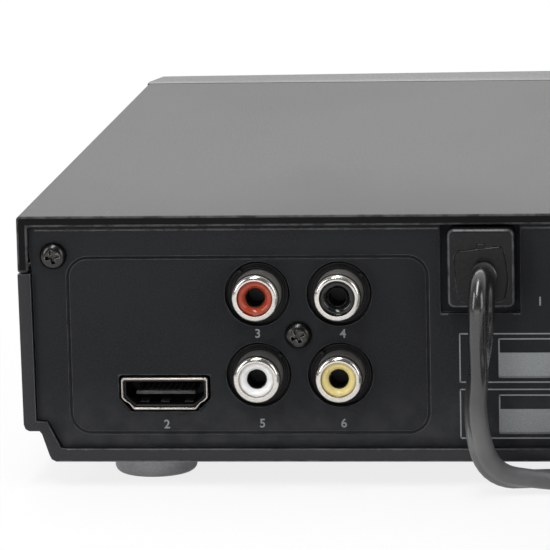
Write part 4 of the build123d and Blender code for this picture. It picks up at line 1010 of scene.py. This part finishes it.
def makeHoleRim():
    r = rimFacts
    rim = shellOf("holeRim", holeOutline(*r["outer"]), holeOutline(*r["inner"]), r["back"], r["face"], r["lip"],
                  capped=False)
    # the sloped faces round the hole are painted paler: a painted highlight where the moulded edge catches the
    # light
    markEdges(rim, lambda face: 0.1 < face.normal.y < 0.97)
    placed(rim, "panel_plastic")


def makeVideoSocket():
    v = videoFacts
    wall, back, front = v["wall"], v["back"], v["front"]
    shell = shellOf("digitalShell", videoOutline(), videoOutline(wall), back, front, v["lip"])
    placed(shell, "plated_shell", "video_socket", finish="worn_nickel")
    gap, lined, deep, lip = v["lining"]
    # a near-black lining inside the plated shell: painted shade for the socket's inside
    lining = shellOf("digitalShadeLining", videoOutline(wall + gap), videoOutline(wall + lined), back + deep,
                     front - deep, lip)
    placed(lining, "dark_plastic", finish="socket_dark")
    middle = (v["left"] + v["right"]) / 2
    wide, thick, height, face = v["tongue"]
    tongue = boxed("digitalTongue", (middle - wide / 2, v["tongueBack"], height - thick / 2),
                   (middle + wide / 2, face, height + thick / 2), (0.12, 2))
    placed(settle(tongue), "tongue_plastic", "video_tongue")
    half, rise, near, far = v["contact"]
    strips = []
    for k in range(v["contacts"]):
        for way in (-1, 1):
            x = middle + v["first"] + k + way * v["shift"]
            z = height + way * (thick / 2 + v["proud"])
            strips.append(boxed("contact", (x - half, near, z - rise), (x + half, far, z + rise), (0.03, 1)))
    half, rise, near, far = v["spring"]
    low = v["low"] + wall + lined
    tabs = []
    for x in v["springs"]:  # bowed tabs along the floor of the shell
        tab = boxed("springTab", (middle + x - half, near, low - rise), (middle + x + half, far, low + rise))
        startEdit(tab)
        bpy.ops.mesh.subdivide(number_cuts=3)
        endEdit()
        for spot in tab.data.vertices:
            spot.co.z += v["bow"] * mm * math.sin(math.pi * (spot.co.y / mm - near) / (far - near))
        tabs.append(settle(tab))
    placed(settle(joined("digitalContacts", *strips)), "plated_shell", finish="worn_nickel")
    placed(joined("digitalSprings", *tabs), "tongue_plastic")
    makeHoleRim()


# Cross-head screws

screwFacts = {
    "places": [(106.3, 40.6, 12), (64.2, 26.6, 24), (-106.3, 40.6, 50)], "radius": 2.35, "high": 1.6,
    "face": 96.12, "shank": 1.2, "long": 6.0, "chamfer": 0.1, "round": 0.55,
    "arm": 1.5, "slot": 0.42, "deep": 1.4, "narrow": 0.6}


def makeScrews():
    s = screwFacts
    radius, high, face, chamfer, arm, slot, deep, narrow = (
        s[k] for k in ("radius", "high", "face", "chamfer", "arm", "slot", "deep", "narrow"))
    profile = [(s["shank"], face - s["long"]), (s["shank"], face - chamfer), (radius - chamfer, face),
               (radius, face + chamfer)]
    for a in (math.radians(degrees) for degrees in (12, 24, 36, 48, 60, 70, 80)):
        profile.append((radius * math.cos(a) ** s["round"], face + chamfer + (high - chamfer) * math.sin(a)))
    profile.append((radius * 0.12, face + high))
    cross = []
    quarter = [(slot, arm), (slot, slot), (arm, slot)]
    for _ in range(4):
        cross += quarter
        quarter = [(z, -x) for x, z in quarter]
    heads = []
    for x, z, turn in s["places"]:
        head = turned("rearScrews", (x, 0, z), profile, sides=56, angle=40)
        cutter = outlined("cutter", cross, -deep, [(1, 0)])
        startEdit(cutter)
        choose(cutter, "FACE", lambda normal: normal.y < -0.9)
        resize((narrow, 1, narrow), (0, -deep, 0))
        endEdit()
        stood(cutter, x, face + high, z, math.radians(turn), "Y")
        applyModifier(head, "BOOLEAN", operation="DIFFERENCE", object=cutter, solver="EXACT")
        bpy.data.objects.remove(cutter)
        heads.append(finishShape(head, 30))
    placed(joined("rearScrews", *heads), "black_steel", "rear_screws")


# The strain relief where the cord leaves: a block, a tilted inner plate, a nub, and a near-black disc in the
# round mouth as painted shade

reliefFacts = {
    "low": (26.9, 31.75), "high": (38.3, 45.3), "neck": 91.7, "back": 94.2, "face": 99.2, "round": 0.6,
    "corner": 1.15, "neckIn": (1.35, 1.0), "flange": (91.7, 94.06, 0.3),
    "plate": [(28.5, 33.0), (27.9, 36.4), (28.3, 40.0), (28.9, 42.5), (32.6, 42.15), (36.6, 41.6),
              (37.2, 40.5), (36.9, 36.2), (36.4, 32.75), (32.0, 32.4)],
    "plateBends": [1.3, 1.2, 1.5, 0.75, 0.4, 0.8, 0.8, 1.5, 1.2, 2.0],
    "tilt": ((32.5, 0.02), (37.5, 0.04)),
    "nub": [(31.5, 41.8), (31.6, 42.8), (33.2, 42.9), (33.5, 41.7)],
    "plateRise": (-0.3, 0.5, 0.42), "nubRise": (-0.2, 0.6, 0.3), "nubBend": 0.25,  # from, to, edge's bend
    "mouth": (-0.12, 0.04, 1.03),  # how far it sits from the cord's exit, and times its sleeve
    "mouthRise": [(0.53, 0), (0.55, 0.12)]}


def roundOver(face, bend, steps=5):  # steps that turn a front edge over into its face
    stops = []
    drawn = 0.0
    for k in range(steps + 1):
        a = math.radians(90 * k / steps)
        now = bend * (1 - math.cos(a))
        stops.append((face - bend * (1 - math.sin(a)), now - drawn))
        drawn = now
    return stops


def makeRelief():
    r = reliefFacts
    (x0, z0), (x1, z1) = r["low"], r["high"]
    back, face = r["back"], r["face"]
    corners = [(x0, z0), (x0, z1), (x1, z1), (x1, z0)]
    block = outlined("entryBlock", roundedOutline(corners, r["corner"], 7), back, roundOver(face, r["round"]),
                     angle=50)
    # the block's rounded rim is painted paler: a painted highlight round its edges, besides wear
    markEdges(block, lambda face: 0.25 < face.normal.y < 0.97)
    near, far, bend = r["plateRise"]
    plate = outlined("entryPlate", roundedOutline(r["plate"], r["plateBends"], 4), face + near,
                     roundOver(face + far, bend), angle=50)
    (tiltX, byX), (tiltZ, byZ) = r["tilt"]
    for spot in plate.data.vertices:  # stands proudest at its upper right, as it was pressed in
        if spot.co.y > face * mm:
            spot.co.y += ((spot.co.z / mm - tiltZ) * byZ - (spot.co.x / mm - tiltX) * byX) * mm
    near, far, bend = r["nubRise"]
    nub = outlined("entryNub", roundedOutline(r["nub"], r["nubBend"], 3), face + near,
                   roundOver(face + far, bend), angle=60)
    side, top = r["neckIn"]
    neck = boxed("entryNeck", (x0 + side, r["neck"], z0 + side), (x1 - side, back + 0.3, z1 - top), (0.4, 2))
    near, far, down = r["flange"]
    inner = boxed("entryFlange", (x0, near, z0), (x1, far, z1 - down), (0.5, 3))
    block = settle(joined("entryBlock", block, plate, nub, neck, inner), 45)
    placed(block, "relief_plastic", "strain_relief")
    x, z = cordFacts["exit"][0] + r["mouth"][0], cordFacts["exit"][2] + r["mouth"][1]
    gap = arc((x, z), cordFacts["sleeve"] * r["mouth"][2], 0, 348, 29)  # a near-black disc round the sleeve: painted shade for the gap in the mouth
    mouth = outlined("entryMouthShade", gap, face, [(face + far, inset) for far, inset in r["mouthRise"]])
    placed(mouth, "dark_plastic", finish="socket_dark")


# Moulded and folded walls: the CAD's own shapes, their edges rounded by a width in so many segments

wallFacts = {
    "rear_panel": ("rearWall", 0.16, 2), "top_cover": ("foldedCover", 0.4, 3),
    "bottom_shell": ("lowerShell", 0.25, 2), "feet": ("feetPads", 0.8, 4),
    "front_panel": ("frontFascia", 0.3, 2), "tray_door": ("trayFlap", 0.3, 2),
    "power_button": ("powerKey", 0.25, 2), "open_button": ("openKey", 0.25, 2),
    "play_button": ("playKey", 0.25, 2), "stop_button": ("stopKey", 0.25, 2)}
bodyOf = {node: body for body, members in frame["record"]["behaviour"]["bodies"].items() for node in members}

ledgeFacts = {
    "rims": [(104.8, 6.62, -104.8, 6.8), (106.2, 4.52, -106.2, 4.68)], "rimFace": 96.94,
    "bars": [(109.4, 44.92, 40.0, 45.16), (25.7, 44.92, -109.4, 45.16), (39.7, 30.02, 38.4, 30.24),
             (27.3, 30.02, 26.1, 30.24)], "barFace": 96.1,
    "proud": 0.16, "sunk": 0.3, "seam": 37.6, "seamWide": 0.1, "side": 109.5, "reach": 0.9}


def makeWalls():
    for name, (title, width, segments) in wallFacts.items():
        piece = softened(name, title, width, segments)
        if name == "rear_panel":
            piece = finishPanel(piece)
        if name == "bottom_shell":
            # pale bars along the shell's foot: painted highlights
            piece = joined(title, piece, *highlightBars(ledgeFacts["rims"], ledgeFacts["rimFace"]))
        placed(piece, slotOf[name], name, body=bodyOf[name])


def finishPanel(piece):  # reaches out under the cover's sides, and gets ledges painted pale as painted highlights
    seam, wide = ledgeFacts["seam"] * mm, ledgeFacts["seamWide"] * mm
    startEdit(piece)
    for height in (seam, seam + wide):
        bpy.ops.mesh.bisect(plane_co=(0, 0, height), plane_no=(0, 0, 1))
    endEdit()
    for spot in piece.data.vertices:
        if abs(spot.co.x) > ledgeFacts["side"] * mm and spot.co.z > seam + wide / 2:
            spot.co.x += math.copysign(ledgeFacts["reach"] * mm, spot.co.x)
    return joined("rearWall", piece, *highlightBars(ledgeFacts["bars"], ledgeFacts["barFace"]))


def highlightBars(bars, face):  # moulded lines, all their faces painted pale as painted highlights where the light catches them
    made = []
    for left, low, right, high in bars:
        bar = boxed("ledge", (right, face - ledgeFacts["sunk"], low), (left, face + ledgeFacts["proud"], high),
                    (0.06, 2))
        # every face of a bar is painted pale: a painted highlight
        markEdges(bar, lambda face: True)
        made.append(bar)
    return made


# Plain numbers and frames printed on the rear wall

printFacts = {
    "face": 96.1, "proud": 0.025, "sunk": 0.05, "line": 0.22, "overlap": (0.2, 0.1),
    "tall": 1.5, "capital": 0.7, "raised": 0.03, "bold": 0.035,
    "numbers": [("1", 22.7, 31.6), ("2", 87.3, 10.25), ("3", 71.2, 26.15), ("4", 56.5, 26.1),
                ("5", 70.7, 10.4), ("6", 56.6, 10.4)],
    "frames": [(36.6, 18.15, -33.0, 26.8), (36.6, 8.35, -33.0, 17.1)],
    "boxes": [(29.9, 19.0, -28.0, 25.9, 23.4), (29.9, 9.2, -28.0, 16.1, 13.55)]}


def inkBar(left, low, right, high):
    face, proud, sunk = (printFacts[k] for k in ("face", "proud", "sunk"))
    return boxed("inkBar", (min(left, right), face - sunk, low), (max(left, right), face + proud, high))


def inkFrame(left, low, right, high):
    line = printFacts["line"]
    return [inkBar(left, low, right, low + line), inkBar(left, high - line, right, high),
            inkBar(left, low, left - line, high), inkBar(right, low, right + line, high)]


def inkDigit(digit, x, z):
    deselectAll()
    bpy.ops.object.text_add(location=(0, 0, 0))
    text = bpy.context.object.data
    text.body = digit
    text.align_x = "CENTER"
    text.size = printFacts["tall"] / printFacts["capital"] * mm
    text.extrude = printFacts["raised"] * mm
    text.offset = printFacts["bold"] * mm
    bpy.ops.object.convert(target="MESH")
    stand = Matrix.Rotation(math.pi, 4, "Z") @ Matrix.Rotation(math.pi / 2, 4, "X")
    shape = bpy.context.object
    shape.matrix_world = Matrix.Translation((x * mm, printFacts["face"] * mm, z * mm)) @ stand
    return settle(shape)


def makePrint():
    bars = []
    overX, overZ = printFacts["overlap"]
    for frameSides in printFacts["frames"]:
        bars += inkFrame(*frameSides)
    for left, low, right, high, header in printFacts["boxes"]:
        bars += inkFrame(left, low, right, high)
        bars.append(inkBar(left - overX, low + overZ, right + overX, header))
    bars += [inkDigit(*number) for number in printFacts["numbers"]]
    placed(finishShape(joined("rearPrint", *bars)), "panel_plastic", finish="print_ink")


makeJacks()
makeHousing()
makeVideoSocket()
makeScrews()
makeRelief()
makeWalls()
makePrint()
print("rear details made")


# Floor, background and lamps

stageFacts = {
    "size": 6.0, "floor": (0.96, 0.96, 0.96), "paper": 0.82,
    "facing": (-0.55, 0.35, 0.98, 0.12), "rising": (0.0, 0.6, 0.93, 1.0)}


def makeFloor():
    deselectAll()
    bpy.ops.mesh.primitive_plane_add(size=stageFacts["size"], location=(0, 0, 0))
    floor = named("floor")
    made = Finish("floorPaper", stageFacts["floor"], Roughness=0.9)
    made.start(0.002, 0.985, 1)
    ray = made.add("ShaderNodeLightPath").outputs
    seen = made.most(made.most(ray["Is Camera Ray"], ray["Is Glossy Ray"]), ray["Is Transmission Ray"])
    white = made.add("ShaderNodeEmission").outputs[0]
    inputs = {0: made.times(seen, stageFacts["paper"]), 1: made.shader.outputs[0], 2: white}
    both = made.add("ShaderNodeMixShader", inputs)
    surface = next(n for n in made.tree.nodes if n.type == "OUTPUT_MATERIAL").inputs["Surface"]
    made.feed(surface, both.outputs[0])
    floor.data.materials.append(made.done())


def makeWorld():  # brighter behind the camera than behind the piece, and plain white where it is seen
    world = bpy.data.worlds.new("studio")
    world.use_nodes = True
    scene.world = world
    w = Wiring(world.node_tree)
    back = next(n for n in w.tree.nodes if n.type == "BACKGROUND")
    way = w.split(w.add("ShaderNodeTexCoord").outputs["Generated"])
    plain = w.times(w.ranged(way["Y"], *stageFacts["facing"]), w.ranged(way["Z"], *stageFacts["rising"]))
    seen = w.add("ShaderNodeLightPath").outputs["Is Camera Ray"]
    level = w.add("ShaderNodeMix", {0: seen, 2: plain, 3: 1.0}, data_type="FLOAT")
    w.feed(back.inputs["Color"], (1, 1, 1))
    w.feed(back.inputs["Strength"], level.outputs[0])


# name, place, what it looks at, width and height, power
lamps = [
    ("overLamp", (0.16, 0.55, 1.25), (0.03, 0.08, 0.03), (0.3, 1.2), 10),
    ("leftLamp", (0.95, 0.8, 0.55), (0.05, 0.09, 0.03), (0.3, 0.8), 4),
    ("rightLamp", (-1.0, 0.75, 0.5), (0, 0.09, 0.03), (0.4, 0.8), 3.5),
    ("lowLamp", (0.1, 0.9, 0.07), (0.05, 0.1, 0.01), (0.9, 0.08), 0.5),
    ("frontLamp", (0.1, -1.3, 0.9), (0, -0.05, 0.03), (1.2, 0.9), 6)]


def addLamp(name, place, aim, size, power):
    data = bpy.data.lights.new(name, "AREA")
    data.shape = "RECTANGLE"
    data.size, data.size_y = size
    data.energy = power
    lamp = bpy.data.objects.new(name, data)
    scene.collection.objects.link(lamp)
    lamp.location = place
    lamp.rotation_euler = (Vector(aim) - Vector(place)).to_track_quat("-Z", "Y").to_euler()


makeFloor()
makeWorld()
for lamp in lamps:
    addLamp(*lamp)
scene.view_settings.view_transform = "Standard"
print("stage lit")

for name, piece in nodes.items():
    slot = slotOf[name]
    if finishes[slot].name not in [m.name for m in piece.data.materials if m]:
        piece.data.materials.clear()
        piece.data.materials.append(finishes[slot])
